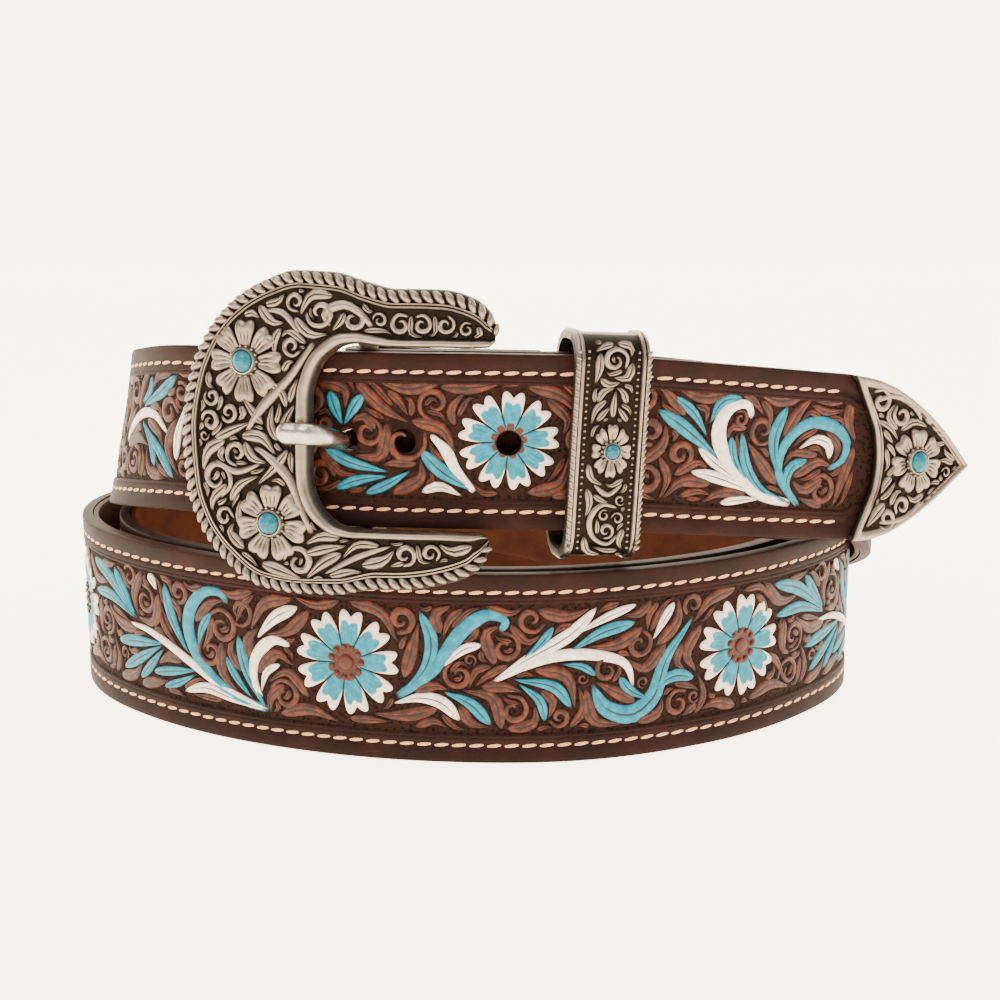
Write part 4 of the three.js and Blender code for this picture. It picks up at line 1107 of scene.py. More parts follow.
    def drills(self) -> Body:
        """Round bars where the belt's holes are."""
        body, coil = Body(), self.coil
        angle = np.linspace(0, 2 * np.pi, 36, endpoint=False)[None]
        for place in self.hole_places:
            surface = coil.face(coil.hole_turn)
            deep = np.linspace(1.5, -coil.strap - 1.5, 2)[:, None]
            rings = surface(*np.broadcast_arrays(
                place + self.hole_radius * np.cos(angle), self.hole_radius * np.sin(angle), deep))
            body.sweep(rings, np.zeros(3), np.zeros(rings.shape[:2]))
        return body

    def slot(self) -> Body:
        """Room for the prong's eye in the fold."""
        coil, body = self.coil, Body()
        reach = self.fold_radius + coil.leather + 2 * self.slot_clearance
        right = self.fold_radius + self.eye_wall + self.slot_clearance
        high = self.prong_width / 2 + self.slot_clearance
        deep = self.fold_radius + coil.leather + self.slot_clearance
        middle = -coil.leather - self.fold_radius
        bar = coil.fitting(coil.bar_turn)
        corners = [[bar.point(x, u, o) for u, o in ((-high, middle - deep), (high, middle - deep),
                                                    (high, middle + deep), (-high, middle + deep))]
                   for x in (-reach, right)]
        body.sweep(np.array(corners), np.zeros(3), np.zeros((2, 4)))
        return body

    def lining(self, bench: Bench, finish: bpy.types.Material) -> None:
        """Builds the lining behind the leather.

        Args:
            bench: puts it in place.
            finish: its material.
        """
        coil, body = self.coil, Body()
        start = self.fold_length + 0.6
        end = coil.tail_to_tip - coil.bar_offset + self.distance(3) - 0.3
        places = np.append(np.arange(start, end - 1, 1.6), end)
        at = places - end
        stations = coil.stations(coil.after(coil.bar_turn, places))
        half = stations.width / 2 - self.lining_margin
        face, back = -coil.leather - self.bond_gap, -coil.strap
        rows = [(0.0, face), (0.0, back + 0.3), (0.08, back + 0.1), (0.3, back), (1.2, back)]
        up = np.stack([half - cut for cut, _ in rows] + [cut - half for cut, _ in rows[::-1]], axis=-1)
        out = np.broadcast_to([o for _, o in rows + rows[::-1]], up.shape)
        lean = np.clip((at + 22) / 22, 0, 1)[:, None] * self.skew(0 * up, up)
        rings = self.rings(stations, lean, up, out)
        chart = np.stack(np.broadcast_arrays(places[:, None], up, out), axis=-1)
        body.sweep(rings, chart, np.ones(up.shape))
        piece = bench.build("lining_fine", body, finish, Slot.LINING, "lining")
        bench.cut(piece, self.drills())

    def stitches(self, bench: Bench, finish: bpy.types.Material) -> None:
        """Sews the two rows of stitches along the borders.

        Args:
            bench: puts them in place.
            finish: the thread.
        """
        coil, body = self.coil, Body()
        end = coil.tail_to_tip - coil.bar_offset + self.distance(3) + 0.5
        places = np.arange(4.0, end, self.stitch_pitch)
        width = coil.stations(coil.after(coil.bar_turn, places)).width
        for side in (-1, 1):
            up = side * (width / 2 - self.stitch_inset)
            middles = np.stack([places, up, np.full(len(places), -0.3)], axis=-1)
            middles = middles[places < end - 4.0 * (side > 0)]
            body.beads(coil.face(coil.bar_turn), middles, (1.56, 0.42, 0.3), 0.1, 6, 8)
        bench.build("stitches", body, finish, Slot.LEATHER)


def leaf(paint: Paint, width: float, *line: tuple[float, float]) -> Stroke:
    """A leaf from its tip to its base."""
    return Stroke(paint, Form.LEAF, width, line)


def scroll(paint: Paint, width: float, *line: tuple[float, float]) -> Stroke:
    """A scroll from its curled tip to its base."""
    return Stroke(paint, Form.SCROLL, width, line)


def stem(paint: Paint, width: float, *line: tuple[float, float]) -> Stroke:
    """A stem of nearly even width."""
    return Stroke(paint, Form.STEM, width, line)


def curl(paint: Paint, width: float, middle: tuple[float, float], radius: float, first_deg: float,
         turns: float) -> Stroke:
    """A spiral that runs out from its middle.

    Args:
        paint: its paint.
        width: its width where it is widest.
        middle: along and up of its middle.
        radius: its outer radius.
        first_deg: direction in which it begins.
        turns: how often it goes round, and below zero clockwise.

    Returns:
        The scroll.
    """
    steps = np.linspace(0, 1, 9)
    angle = math.radians(first_deg) + 2 * math.pi * turns * steps
    reach = radius * (0.22 + 0.78 * steps)
    line = zip(middle[0] + reach * np.cos(angle), middle[1] + reach * np.sin(angle))
    return Stroke(paint, Form.SCROLL, width, tuple((float(x), float(y)) for x, y in line))


T, W, B = Paint.TURQUOISE, Paint.WHITE, Paint.BROWN

# Leafwork between two flowers, the first kind, which ends at the flower at 0
FILL_BEFORE = (
    leaf(T, 3.6, (-73.5, 11.6), (-65, 9.2), (-54.2, 2.2)),
    leaf(T, 3, (-62.6, 11.6), (-59.5, 8.2), (-54.6, 3)),
    leaf(T, 3, (-72.7, 4.7), (-64, 5), (-54.2, 2)),
    stem(W, 2.2, (-57.1, 0.5), (-51, 0.3), (-45, -1.2), (-37, -4.5), (-28, -8.5), (-17.5, -11.5)),
    leaf(T, 3.2, (-61.7, -4.2), (-54, -3), (-45, -1.9)),
    leaf(T, 3, (-59.8, -10), (-53.5, -6.6), (-45.5, -2.4)),
    leaf(T, 2.6, (-53.4, -11), (-49.6, -7.4), (-45, -3)),
    leaf(T, 2.6, (-48.8, -8.6), (-42, -7.2), (-35, -5.8)),
    leaf(T, 2.2, (-45.4, -11.2), (-41, -9.6), (-35.5, -6.8)),
    leaf(W, 2.8, (-39.2, -11), (-33, -9.2), (-26, -10.3), (-17.5, -11.7)),
    leaf(T, 3.2, (-44.3, 11.2), (-42.3, 4.5), (-37.5, -2.6)),
    scroll(T, 3.6, (-26.7, 9.4), (-28.6, 11.4), (-32.8, 11), (-36.7, 7), (-37.5, 2.8),
           (-35.8, -1.8), (-30.8, -7), (-24, -10.2), (-17.5, -11.4)),
    leaf(T, 2.4, (-31, 7), (-33.6, 3.2), (-34.6, -1)),
    leaf(T, 3, (-24.3, 3.2), (-22.4, -4), (-17.9, -11.2)),
    leaf(T, 2.2, (-27.4, -1.6), (-25.2, -5.4), (-21, -9.6)),
    leaf(W, 3.2, (-10.2, 10.6), (-15.5, 7.8), (-19.6, 3.2)),
    scroll(W, 2.9, (-12.1, 2.4), (-15.8, 3.2), (-20, -0.5), (-20.8, -4.7), (-19.2, -9.6)),
    leaf(W, 2, (-14.4, -1.6), (-17.6, -3.6), (-18.9, -8)),
    leaf(W, 2.6, (-49.4, 12.4), (-47.9, 11.2), (-46.6, 9.4)),
    curl(B, 1.7, (-28.2, 4.4), 4, 40, 1.3), curl(B, 1.6, (-31.4, -1.2), 3.4, 200, -1.2),
    curl(B, 1.6, (-13.4, -8), 3.6, 90, 1.2), curl(B, 1.5, (-23.4, 8.2), 3.2, 300, -1.2),
    curl(B, 1.5, (-56, 10.8), 2.6, 120, 1.1), curl(B, 1.6, (-50.6, 6.6), 3.4, 20, 1.25),
    curl(B, 1.6, (-66.6, -0.6), 3.6, 330, -1.2), curl(B, 1.5, (-68, -8.4), 3.6, 90, 1.3),
    leaf(B, 2.2, (-76.5, -3), (-72.5, -4.6), (-69, -10.4)),
    leaf(B, 2, (-45.6, 4.6), (-44.6, 1.8), (-40.6, -1.6)),
    leaf(B, 2, (-20.2, 12), (-22.8, 9.8), (-24.6, 5.6)),
    leaf(B, 2.2, (-63.5, -11.8), (-61.6, -8.6), (-63.4, -3.4)),
    leaf(B, 2, (-79.2, 10.6), (-76.6, 7.8), (-75.8, 2.6)),
)

# Leafwork of the second kind, from the flower at 0 to the one after it
FILL_AFTER = (
    leaf(T, 3.2, (15, 11.4), (17.2, 5.8), (16.2, 0.3), (10.8, -5.8)),
    scroll(T, 3.4, (30.6, 7.6), (31.7, 9.7), (28.3, 11), (24.2, 8.6), (20.8, 4.5), (17.5, -0.5),
           (10.4, -6)),
    leaf(W, 2.4, (27.1, 5), (23.5, 4), (19.4, 0.4)),
    leaf(W, 3.2, (22.8, -10.4), (19.2, -6.9), (15, -6), (9.6, -7.4)),
    leaf(T, 3, (28.8, -11.2), (24.6, -6.8), (19.6, -4.6)),
    leaf(W, 3.2, (49.6, 12), (44.5, 7), (35, 1.6), (29.2, -2.2)),
    leaf(W, 2.2, (57.9, 12), (52, 10), (45, 6.8)),
    leaf(T, 3, (57.6, 8.4), (50.6, 6.8), (44.4, 3.6)),
    leaf(T, 2.2, (41, 8.6), (38.6, 5.2), (34.6, 1.6)),
    stem(W, 2.6, (57.4, -4.6), (55.6, 0.1), (49.2, 2.4), (41.7, 2.6), (35, 0.6), (29.2, -2.5)),
    leaf(T, 1.9, (49.6, -1.8), (46.8, 0.2), (42.6, 1)),
    leaf(T, 2.8, (44.6, -8), (41.4, -3.8), (33.3, -1.9)),
    leaf(T, 2.4, (39.4, -10.6), (38.4, -6.4), (34.2, -2.8)),
    leaf(T, 4.6, (48.8, -3.6), (51.4, -8.4), (57, -10.4), (61.8, -7.2), (64.4, 0), (70.6, 8)),
    leaf(T, 3.2, (71.2, -4.6), (66.4, -3.6), (60.6, -6.4)),
    leaf(T, 2.6, (54.4, -2.4), (56.4, -5.2), (60.4, -7.4)),
    leaf(W, 2.4, (66.2, 11.6), (64, 8.4), (61.4, 4.4)),
    curl(B, 1.6, (31.6, 4.4), 3.2, 30, 1.2), curl(B, 1.6, (22.6, -1.2), 3.2, 180, -1.2),
    curl(B, 1.6, (36.6, 10), 2.8, 270, 1.2), curl(B, 1.5, (51.8, -0.8), 2.8, 90, -1.1),
    curl(B, 1.6, (58.4, 3.8), 3, 0, 1.2), curl(B, 1.6, (33.2, -8.2), 3.2, 40, 1.2),
    curl(B, 1.6, (67.4, -9.4), 3, 120, -1.2), curl(B, 1.6, (70.6, 10.6), 2.4, 200, 1.1),
    leaf(B, 2.2, (23.4, 12.2), (20.8, 9.8), (19.6, 6.4)),
    leaf(B, 2.2, (14, -12), (17.6, -10.6), (20.2, -11.8)),
    leaf(B, 2.2, (44.4, -12), (47, -8.6), (46, -3.6)),
    leaf(B, 2, (29, 0.8), (26, -0.2), (24.6, -3.6)),
    leaf(B, 2, (62.6, 12), (60.6, 9.6), (60.2, 6.4)),
    leaf(B, 2, (71.6, -12.2), (73.6, -8.6), (72, -4)),
)

# Leafwork of the billet, from the hole that the prong is in
FILL_BILLET = (
    leaf(T, 3, (-3.2, 9.4), (-2.2, 6.2), (-0.7, 2.9)), leaf(T, 2.8, (3.6, 9), (1.6, 6.2), (-0.3, 2.9)),
    leaf(T, 2.8, (-4.6, -1.6), (0.3, -4.2), (8.4, -6)),
    leaf(T, 2.6, (-2.4, -9.6), (2.2, -7.8), (8.2, -6.8)),
    leaf(T, 2.4, (3.7, -10.4), (8.2, -8.4), (12.8, -5.6)),
    leaf(T, 3.4, (14.6, -1.6), (18.6, -5.6), (24.9, -9.4)),
    scroll(W, 2.6, (16.6, 1.4), (19.5, -1.6), (21.4, -5.3), (24.9, -9.6)),
    leaf(W, 2.4, (14.8, -9.8), (18.2, -8.6), (22.6, -10.4)),
    curl(B, 1.7, (11.4, 0), 4.6, 60, 0.9), curl(B, 1.6, (4.4, 1.6), 3, 0, 1.2),
    curl(B, 1.6, (17.4, 7.4), 3.4, 200, 1.2), leaf(B, 2.2, (8.2, 9.8), (10.6, 7.8), (12.4, 5)),
    leaf(B, 2.2, (21.2, 3.2), (20.6, 6.2), (23.2, 9.8)),
    curl(B, 1.6, (46, -6.4), 3.4, 90, 1.2), curl(B, 1.6, (50.8, 5.2), 3.6, 300, 1.2),
    leaf(T, 2.8, (44.2, 9.6), (47.4, 6.2), (53.8, 2)),
    leaf(T, 2.8, (46, -9.8), (51.6, -6.6), (56.4, -0.6)),
    leaf(T, 3.4, (58.6, 7.2), (65.2, 3.2), (72, -1.4)),
    leaf(T, 2.4, (61.2, 10), (65.6, 7), (69, 2.6)),
    leaf(T, 2.6, (75.8, 10.6), (71.4, 9.6), (69.3, 5.2)),
    scroll(W, 3.5, (78.6, 6.6), (77.4, 9.2), (74, 8.9), (71.9, 6.2), (71.7, 2.6), (74.1, -2),
           (78.7, -6.2), (83.7, -8.7), (90.3, -9.9)),
    leaf(W, 2.4, (67.4, 0.4), (71.6, -2.6), (78, -6.2)),
    leaf(W, 2.8, (66.4, -4.4), (71.6, -5.2), (82, -8.2)),
    leaf(W, 2.2, (73.6, -10.4), (77.6, -9.6), (82.8, -9.2)),
    leaf(T, 2.6, (74.4, 3), (75.6, -1.8), (79.4, -6)),
    leaf(T, 2.8, (76.6, 4), (78.6, -2.6), (82.6, -7.2), (90.3, -9.9)),
    leaf(T, 3.2, (86.6, 9.6), (84.4, 3), (86.6, -5.2)),
    scroll(T, 3, (98.4, -2.6), (101.6, -0.6), (102.2, 3.2), (98.4, 6.2), (92.8, 6.6), (88.7, 4),
           (86.4, -0.3), (86.8, -4.5), (92.2, -10.2)),
    leaf(W, 2.6, (98.4, -0.6), (97.8, 2.4), (94.6, 3.4), (90.4, 1.2)),
    leaf(T, 2.8, (93.2, -0.8), (89.4, -2.6), (88.6, -6.2), (92.6, -10.3)),
    curl(B, 1.7, (97.4, -7), 3.6, 60, 1.25), curl(B, 1.6, (81.4, 4.6), 3.2, 240, 1.2),
    leaf(B, 2.2, (80.2, 10.4), (82.6, 8.2), (83, 5)),
    leaf(B, 2.2, (92.6, 10.2), (96.4, 9), (101, 9.8)),
    leaf(B, 2.2, (59.6, -1.8), (61.8, -6), (60.4, -10.4)),
    leaf(B, 2, (64.6, -9.4), (68.2, -8.2), (71.4, -8.8)),
    stem(W, 2.4, (-66, -3), (-59.6, 1.8), (-54, 3.2), (-49, 2.4), (-44.6, -1.2)),
    leaf(T, 3.2, (-41.2, 10.6), (-46.4, 7.4), (-55, 4.4)),
    leaf(T, 2.4, (-50.4, 10.8), (-51.4, 8), (-55.6, 5)),
    leaf(T, 2.8, (-50, -8.2), (-51.4, -3.2), (-55.6, 1.6)),
    leaf(T, 3, (-43, -10.4), (-47.2, -5.6), (-54.6, 1)),
    leaf(W, 2.6, (-41.9, -6.8), (-41.2, -1.6), (-38.4, 4.6)),
    leaf(T, 2.8, (-34.6, 9.8), (-36.6, 5.4), (-38.8, 0.6)),
    curl(B, 1.6, (-60.4, 7.6), 3.2, 60, 1.2), curl(B, 1.6, (-60.2, -6.8), 3.4, 180, -1.2),
    leaf(B, 2.2, (-69.4, 9.8), (-66.2, 6.4), (-66.6, 1.8)),
    leaf(B, 2.2, (-56.4, -10.4), (-55, -7), (-55.8, -3.6)),
    leaf(B, 2.2, (-34, -9.8), (-36.4, -6.4), (-36, -2.4)),
)


@dataclass(frozen=True)
class Filler:
    """Fills what the strokes of a panel leave bare with more curls and leaves.

    The widest bare spot is taken first, again and again, and gets a leaf where it is
    long and a curl where it is round, until only narrow spots are left.
    """

    smallest: float = 0.7
    largest: float = 3.4
    grid: float = 0.45
    longest: float = 7.0
    most: int = 90

    def marks(self, strokes: Iterable[Stroke]) -> Array:
        """Points along strokes with the half width there.

        Args:
            strokes: the strokes.

        Returns:
            Rows of along, up and half width.
        """
        rows = [np.zeros((0, 3))]
        for stroke in strokes:
            line = smooth_line(np.array(stroke.line, float), 22)
            half = stroke.width * 0.36 * np.sin(np.pi * np.linspace(0.12, 0.92, 22)) + 0.1
            rows.append(np.column_stack([line, half]))
        return np.concatenate(rows)

    def free(self, spots: Array, marks: Array) -> Array:
        """Distance of each spot to the nearest mark."""
        if not len(marks):
            return np.full(len(spots), np.inf)
        gaps = np.linalg.norm(spots[:, None] - marks[None, :, :2], axis=-1) - marks[None, :, 2]
        return gaps.min(axis=1)

    def fill(self, room: Callable[[Array], Array], low: tuple[float, float], high: tuple[float, float],
             strokes: Sequence[Stroke]) -> list[Stroke]:
        """Finds the added strokes.

        Args:
            room: distance of spots to the panel's edge and to what stands on it.
            low: least along and up.
            high: most along and up.
            strokes: what is there already.

        Returns:
            The added strokes.
        """
        grid = np.stack(np.meshgrid(np.arange(low[0], high[0], self.grid),
                                    np.arange(low[1], high[1], self.grid)), axis=-1).reshape(-1, 2)
        grid = grid[room(grid) > 0]
        free = np.minimum(room(grid), self.free(grid, self.marks(strokes)))
        found: list[Stroke] = []
        while len(found) < self.most:
            best = int(np.argmax(np.minimum(free, self.largest)))
            reach = min(float(free[best]), self.largest)
            if reach < self.smallest:
                break
            found.append(self.shape(grid[best], reach, room, self.marks([*strokes, *found]), len(found)))
            free = np.minimum(free, self.free(grid, self.marks(found[-1:])))
        return found

    def shape(self, spot: Array, reach: float, room: Callable[[Array], Array], marks: Array,
              number: int) -> Stroke:
        """One leaf or curl that fits a bare spot.

        Args:
            spot: its middle.
            reach: how far it is bare.
            room: distance of spots to the panel's edge.
            marks: what is there already.
            number: how many were added before.

        Returns:
            The stroke.
        """
        steps = np.arange(0.5, self.longest, 0.5)
        runs = []
        for angle in np.arange(24) * np.pi / 12:
            ray = spot + steps[:, None] * (math.cos(angle), math.sin(angle))
            clear = np.minimum(room(ray), self.free(ray, marks)) > 0.22
            runs.append(0.5 * (len(steps) if clear.all() else int(np.argmin(clear))))
        first = int(np.argmax(runs))
        back = max(range(24), key=lambda k: runs[k] if min((k - first) % 24, (first - k) % 24) > 6 else -1)
        ends = [spot + max(runs[k], reach) * np.array((math.cos(k * math.pi / 12),
                                                       math.sin(k * math.pi / 12)))
                for k in (first, back)]
        if runs[first] + runs[back] > 4.2 * reach or reach < 1.3:
            line = (ends[0], spot, ends[1])
            return Stroke(Paint.BROWN, Form.LEAF, min(reach * 1.9, 3.2),
                          tuple((float(x), float(y)) for x, y in line))
        way = 1.3 if number % 2 else -1.3
        return curl(Paint.BROWN, reach * 0.62, (float(spot[0]), float(spot[1])), reach * 0.86,
                    number * 77.0, way)


@dataclass(frozen=True)
class Panel:
    """One stretch of leafwork and the room that it has."""

    strokes: tuple[Stroke, ...]
    span: tuple[float, float]
    heights: tuple[float, float]
    round_things: tuple[tuple[float, float, float], ...]
    most: int = 90
    tip_edge: float | None = None

    def room(self, spots: Array) -> Array:
        """Distance to the panel's edges, to flowers and holes, and to the metal tip.

        Args:
            spots: rows of along and up.

        Returns:
            The distance of each spot, below zero where it is past one of them.
        """
        low, high = self.span
        bottom, top = self.heights
        gaps = [spots[:, 0] - low, high - spots[:, 0], spots[:, 1] - bottom, top - spots[:, 1]]
        gaps += [np.hypot(spots[:, 0] - x, spots[:, 1] - y) - r for x, y, r in self.round_things]
        if self.tip_edge is not None:
            gaps.append(self.tip_edge - 6.0 * (spots[:, 1] / 17.0) ** 2 - spots[:, 0])
        return np.min(gaps, axis=0)

    def filled(self) -> tuple[Stroke, ...]:
        """The strokes, and those that fill the ground they leave bare."""
        low, high = zip(self.span, self.heights)
        added = Filler(most=self.most).fill(self.room, (low[0], low[1]), (high[0], high[1]), self.strokes)
        return (*self.strokes, *added)


PANEL_BEFORE = Panel(FILL_BEFORE, (-83.0, 0.0), (-12.5, 12.9), ((-83.0, 0.3, 11.2), (0.0, 0.3, 11.2)))
PANEL_AFTER = Panel(FILL_AFTER, (0.0, 83.0), (-12.5, 12.9), ((0.0, 0.3, 11.2), (83.0, 0.3, 11.2)))
PANEL_BILLET = Panel(FILL_BILLET, (-77.5, 107.0), (-10.6, 12.4),
                     ((31.3, 0.4, 10.0), (-87.0, 0.2, 10.0), (0.0, 0.0, 3.0), (11.4, 0.0, 3.2)),
                     190, 105.5)


@dataclass
class Tooling:
    """Carved and painted leafwork on the strap where its outer face shows."""

    coil: Coil
    repeat: float = 166.0
    chart_turn: float = 0.972
    ground: float = -0.5
    relief: float = 0.5
    flower_radius: float = 10.8
    billet_flower: float = 9.6
    lower_reach: tuple[float, float] = (-418.0, 168.0)
    billet_reach: tuple[float, float] = (-372.0, -74.0)
    billet_start: float = -87.0

    def carve(self, bench: Bench, finishes: dict[Paint, bpy.types.Material],
              flower: bpy.types.Material) -> None:
        """Carves every stroke and flower.

        Args:
            bench: puts them in place.
            finishes: a material for each paint.
            flower: the flowers' material.
        """
        coil = self.coil
        bodies = {(paint, strand): Body() for paint in Paint for strand in ("lower", "billet")}
        lower, billet = coil.face(self.chart_turn), coil.face(coil.hole_turn)
        blooms = Body()
        for fill, shift, squeeze, strand in self.runs():
            surface = lower if strand == "lower" else billet
            low, high = self.lower_reach if strand == "lower" else (self.billet_reach[0], 108.0)
            for stroke in fill:
                places = [x + shift for x, _ in stroke.line]
                if min(places) < low or max(places) > high:
                    continue
                tall = self.relief if stroke.paint is not Paint.BROWN else self.relief * 0.85
                bodies[stroke.paint, strand].stroke(surface, stroke, self.ground, tall, shift, squeeze)
        for place in np.arange(-5, 3) * self.repeat / 2:
            if self.lower_reach[0] + 8 < place < self.lower_reach[1] - 8:
                self.flower(blooms, lower, (float(place), 0.3), self.flower_radius, 9)
        for place in np.arange(-5, 0) * self.repeat / 2 - 4.0:
            if self.billet_reach[0] + 8 < place < self.billet_reach[1] - 8:
                self.flower(blooms, billet, (float(place), 0.2), self.billet_flower, 9)
        blooms.rosette(billet, (31.3, 0.4), self.billet_flower, 9, self.ground, self.relief, 85.0, 1.0, 3)
        for (paint, strand), body in bodies.items():
            bench.build(f"tooling_{paint.value}_{strand}", body, finishes[paint], Slot.LEATHER,
                        sharp_deg=70)
        piece = bench.build("tooled_flowers", blooms, flower, Slot.LEATHER, sharp_deg=60)
        bench.cut(piece, Strap(coil).drills())

    def runs(self) -> list[tuple[tuple[Stroke, ...], float, float, str]]:
        """Each stretch of leafwork: its strokes, shift, squeeze across and strand."""
        before, after, billet = PANEL_BEFORE.filled(), PANEL_AFTER.filled(), PANEL_BILLET.filled()
        found = [(fill, k * self.repeat, 1.0, "lower") for k in range(-3, 2) for fill in (before, after)]
        found.append((billet, 0.0, 1.0, "billet"))
        squeeze = self.coil.billet_width / self.coil.belt_width * 0.97
        first, second = self.billet_start, self.billet_start - self.repeat
        found += [(before, first, squeeze, "billet"), (after, second, squeeze, "billet"),
                  (before, second, squeeze, "billet"), (after, second - self.repeat, squeeze, "billet")]
        return found

    def flower(self, body: Body, surface: Surface, middle: tuple[float, float], radius: float,
               petals: int) -> None:
        """A tooled flower with a beaded centre.

        Args:
            body: what it is added to.
            surface: what it lies on.
            middle: along and up of its middle.
            radius: its reach.
            petals: how many petals.
        """
        body.rosette(surface, middle, radius, petals, self.ground, self.relief, 83.0, 1.0, 3)
        around = np.linspace(0, 2 * np.pi, 11, endpoint=False)
        ring = radius * 0.29
        beads = np.stack([middle[0] + ring * np.cos(around), middle[1] + ring * np.sin(around),
                          np.full(11, self.ground + 0.42)], axis=-1)
        body.beads(surface, beads, (0.62, 0.62, 0.3))
        body.beads(surface, np.array([[*middle, self.ground + 0.36]]), (1.55, 1.55, 0.36), 0.0, 8, 16)


FRAME_SECTIONS = np.array([
    # outer along, outer up, inner along, inner up: shares of the length and the half height
    (0.997, 0.65, 0.991, 0.6), (0.982, 0.73, 0.966, 0.565), (0.937, 0.815, 0.915, 0.562),
    (0.846, 0.87, 0.825, 0.565), (0.774, 0.875, 0.749, 0.565), (0.702, 0.875, 0.682, 0.565),
    (0.609, 0.917, 0.611, 0.565), (0.51, 0.971, 0.559, 0.545), (0.393, 0.978, 0.51, 0.487),
    (0.275, 0.904, 0.473, 0.41), (0.168, 0.77, 0.45, 0.3), (0.081, 0.57, 0.441, 0.2),
    (0.024, 0.305, 0.441, 0.09), (0, 0, 0.441, -0.02), (0.018, -0.365, 0.441, -0.14),
    (0.066, -0.62, 0.442, -0.26), (0.159, -0.833, 0.456, -0.385), (0.268, -0.968, 0.489, -0.494),
    (0.393, -1, 0.539, -0.564), (0.51, -0.992, 0.592, -0.583), (0.644, -0.926, 0.658, -0.583),
    (0.748, -0.907, 0.733, -0.583), (0.839, -0.894, 0.809, -0.583), (0.914, -0.856, 0.892, -0.587),
    (0.961, -0.756, 0.939, -0.59), (0.974, -0.66, 0.965, -0.61),
], float)

# Scrollwork of the buckle: along from the prong hole, up from the buckle's middle
FRAME_SCROLLS = (
    scroll(B, 2.6, (-17.4, -3.4), (-15, -4.4), (-9.7, -9), (-7.4, -14), (-5, -19.4)),
    scroll(B, 2.6, (-19, -0.6), (-18, 0.8), (-15.2, 4.7), (-9.7, 10.2), (-7.2, 13.4), (-4.7, 17)),
    leaf(B, 3, (-29.4, 7.4), (-26.4, 5), (-20.4, 3.6)),
    leaf(B, 2.8, (-29.8, 2.4), (-25.6, 2), (-19.4, 2.8)),
    leaf(B, 2.6, (-26.2, -2.4), (-22.6, -0.6), (-17.6, 1.4)),
    leaf(B, 2.4, (-15.2, 1), (-17.6, 3.6), (-19.8, 6.4)),
    leaf(B, 2.4, (-12, -2), (-13.6, 1), (-13, 5.2)),
    leaf(B, 2.2, (-10.2, 4.4), (-11.4, 7.6), (-15.6, 9.8)),
    curl(B, 1.8, (-25.6, -10), 3.9, 30, -1.3), curl(B, 1.6, (-21, -4.8), 2.6, 200, 1.2),
    leaf(B, 2.4, (-22.4, -14.4), (-20.4, -11), (-15.8, -8.8)),
    leaf(B, 2.4, (-9.8, -3.4), (-12.6, -7), (-16.4, -10.8)),
    leaf(B, 2.2, (-19.2, -19.6), (-20.4, -17), (-20, -13.6)),
    leaf(B, 2.2, (-11.4, 19.6), (-12.8, 17.4), (-12.6, 14)),
    leaf(B, 2.4, (-25.8, 18.2), (-27, 15.4), (-27.8, 11.4)),
    leaf(B, 2.2, (-17.4, 23.6), (-20.4, 22.2), (-22.6, 20.8)),
    stem(B, 1.7, (-14.7, 22.9), (-11, 22.4), (-7.5, 18.6)),
    stem(B, 1.7, (-26, -6.4), (-21.4, -8.4), (-15.6, -6.6)),
    scroll(B, 2.4, (-1.4, 20), (-2.5, 22.6), (1.6, 24.2), (5.3, 22), (6.8, 20)),
    curl(B, 1.8, (-3.4, 22.6), 3, 250, -1.2), curl(B, 1.7, (3.2, 21.4), 2.6, 60, 1.2),
    scroll(B, 2.2, (7.5, 24.3), (10.4, 24.2), (13, 22.9), (17.5, 20.6), (20.6, 20.4)),
    curl(B, 1.7, (11, 21.4), 2.4, 120, -1.2), curl(B, 1.7, (17, 23.2), 2.3, 300, 1.2),
    curl(B, 2, (24.9, 21.4), 2.9, 60, -1.4), leaf(B, 2, (20.4, 24.4), (21.6, 22.6), (21.8, 20.2)),
    leaf(B, 2.6, (-6.4, -23.4), (-2.5, -22.2), (2.2, -21.2)), curl(B, 1.9, (-7.6, -25), 3.2, 90, 1.25),
    curl(B, 1.7, (1.4, -25), 2.6, 250, 1.2), stem(B, 1.6, (-2.4, -27), (4, -23.4), (10.6, -21)),
    scroll(B, 2.2, (11.4, -24.2), (13.8, -21.6), (18, -22), (20.6, -24.4)),
    curl(B, 1.8, (8, -24.6), 2.5, 20, -1.25), curl(B, 1.7, (16.2, -24.4), 2.2, 180, 1.2),
    curl(B, 1.8, (23.4, -22.2), 2.5, 250, 1.3), leaf(B, 1.8, (26.4, -24.6), (27.2, -22.6), (26.6, -20.2)),
    leaf(B, 2.2, (-15.8, -27.2), (-12.4, -26.8), (-9.6, -28.2)),
)


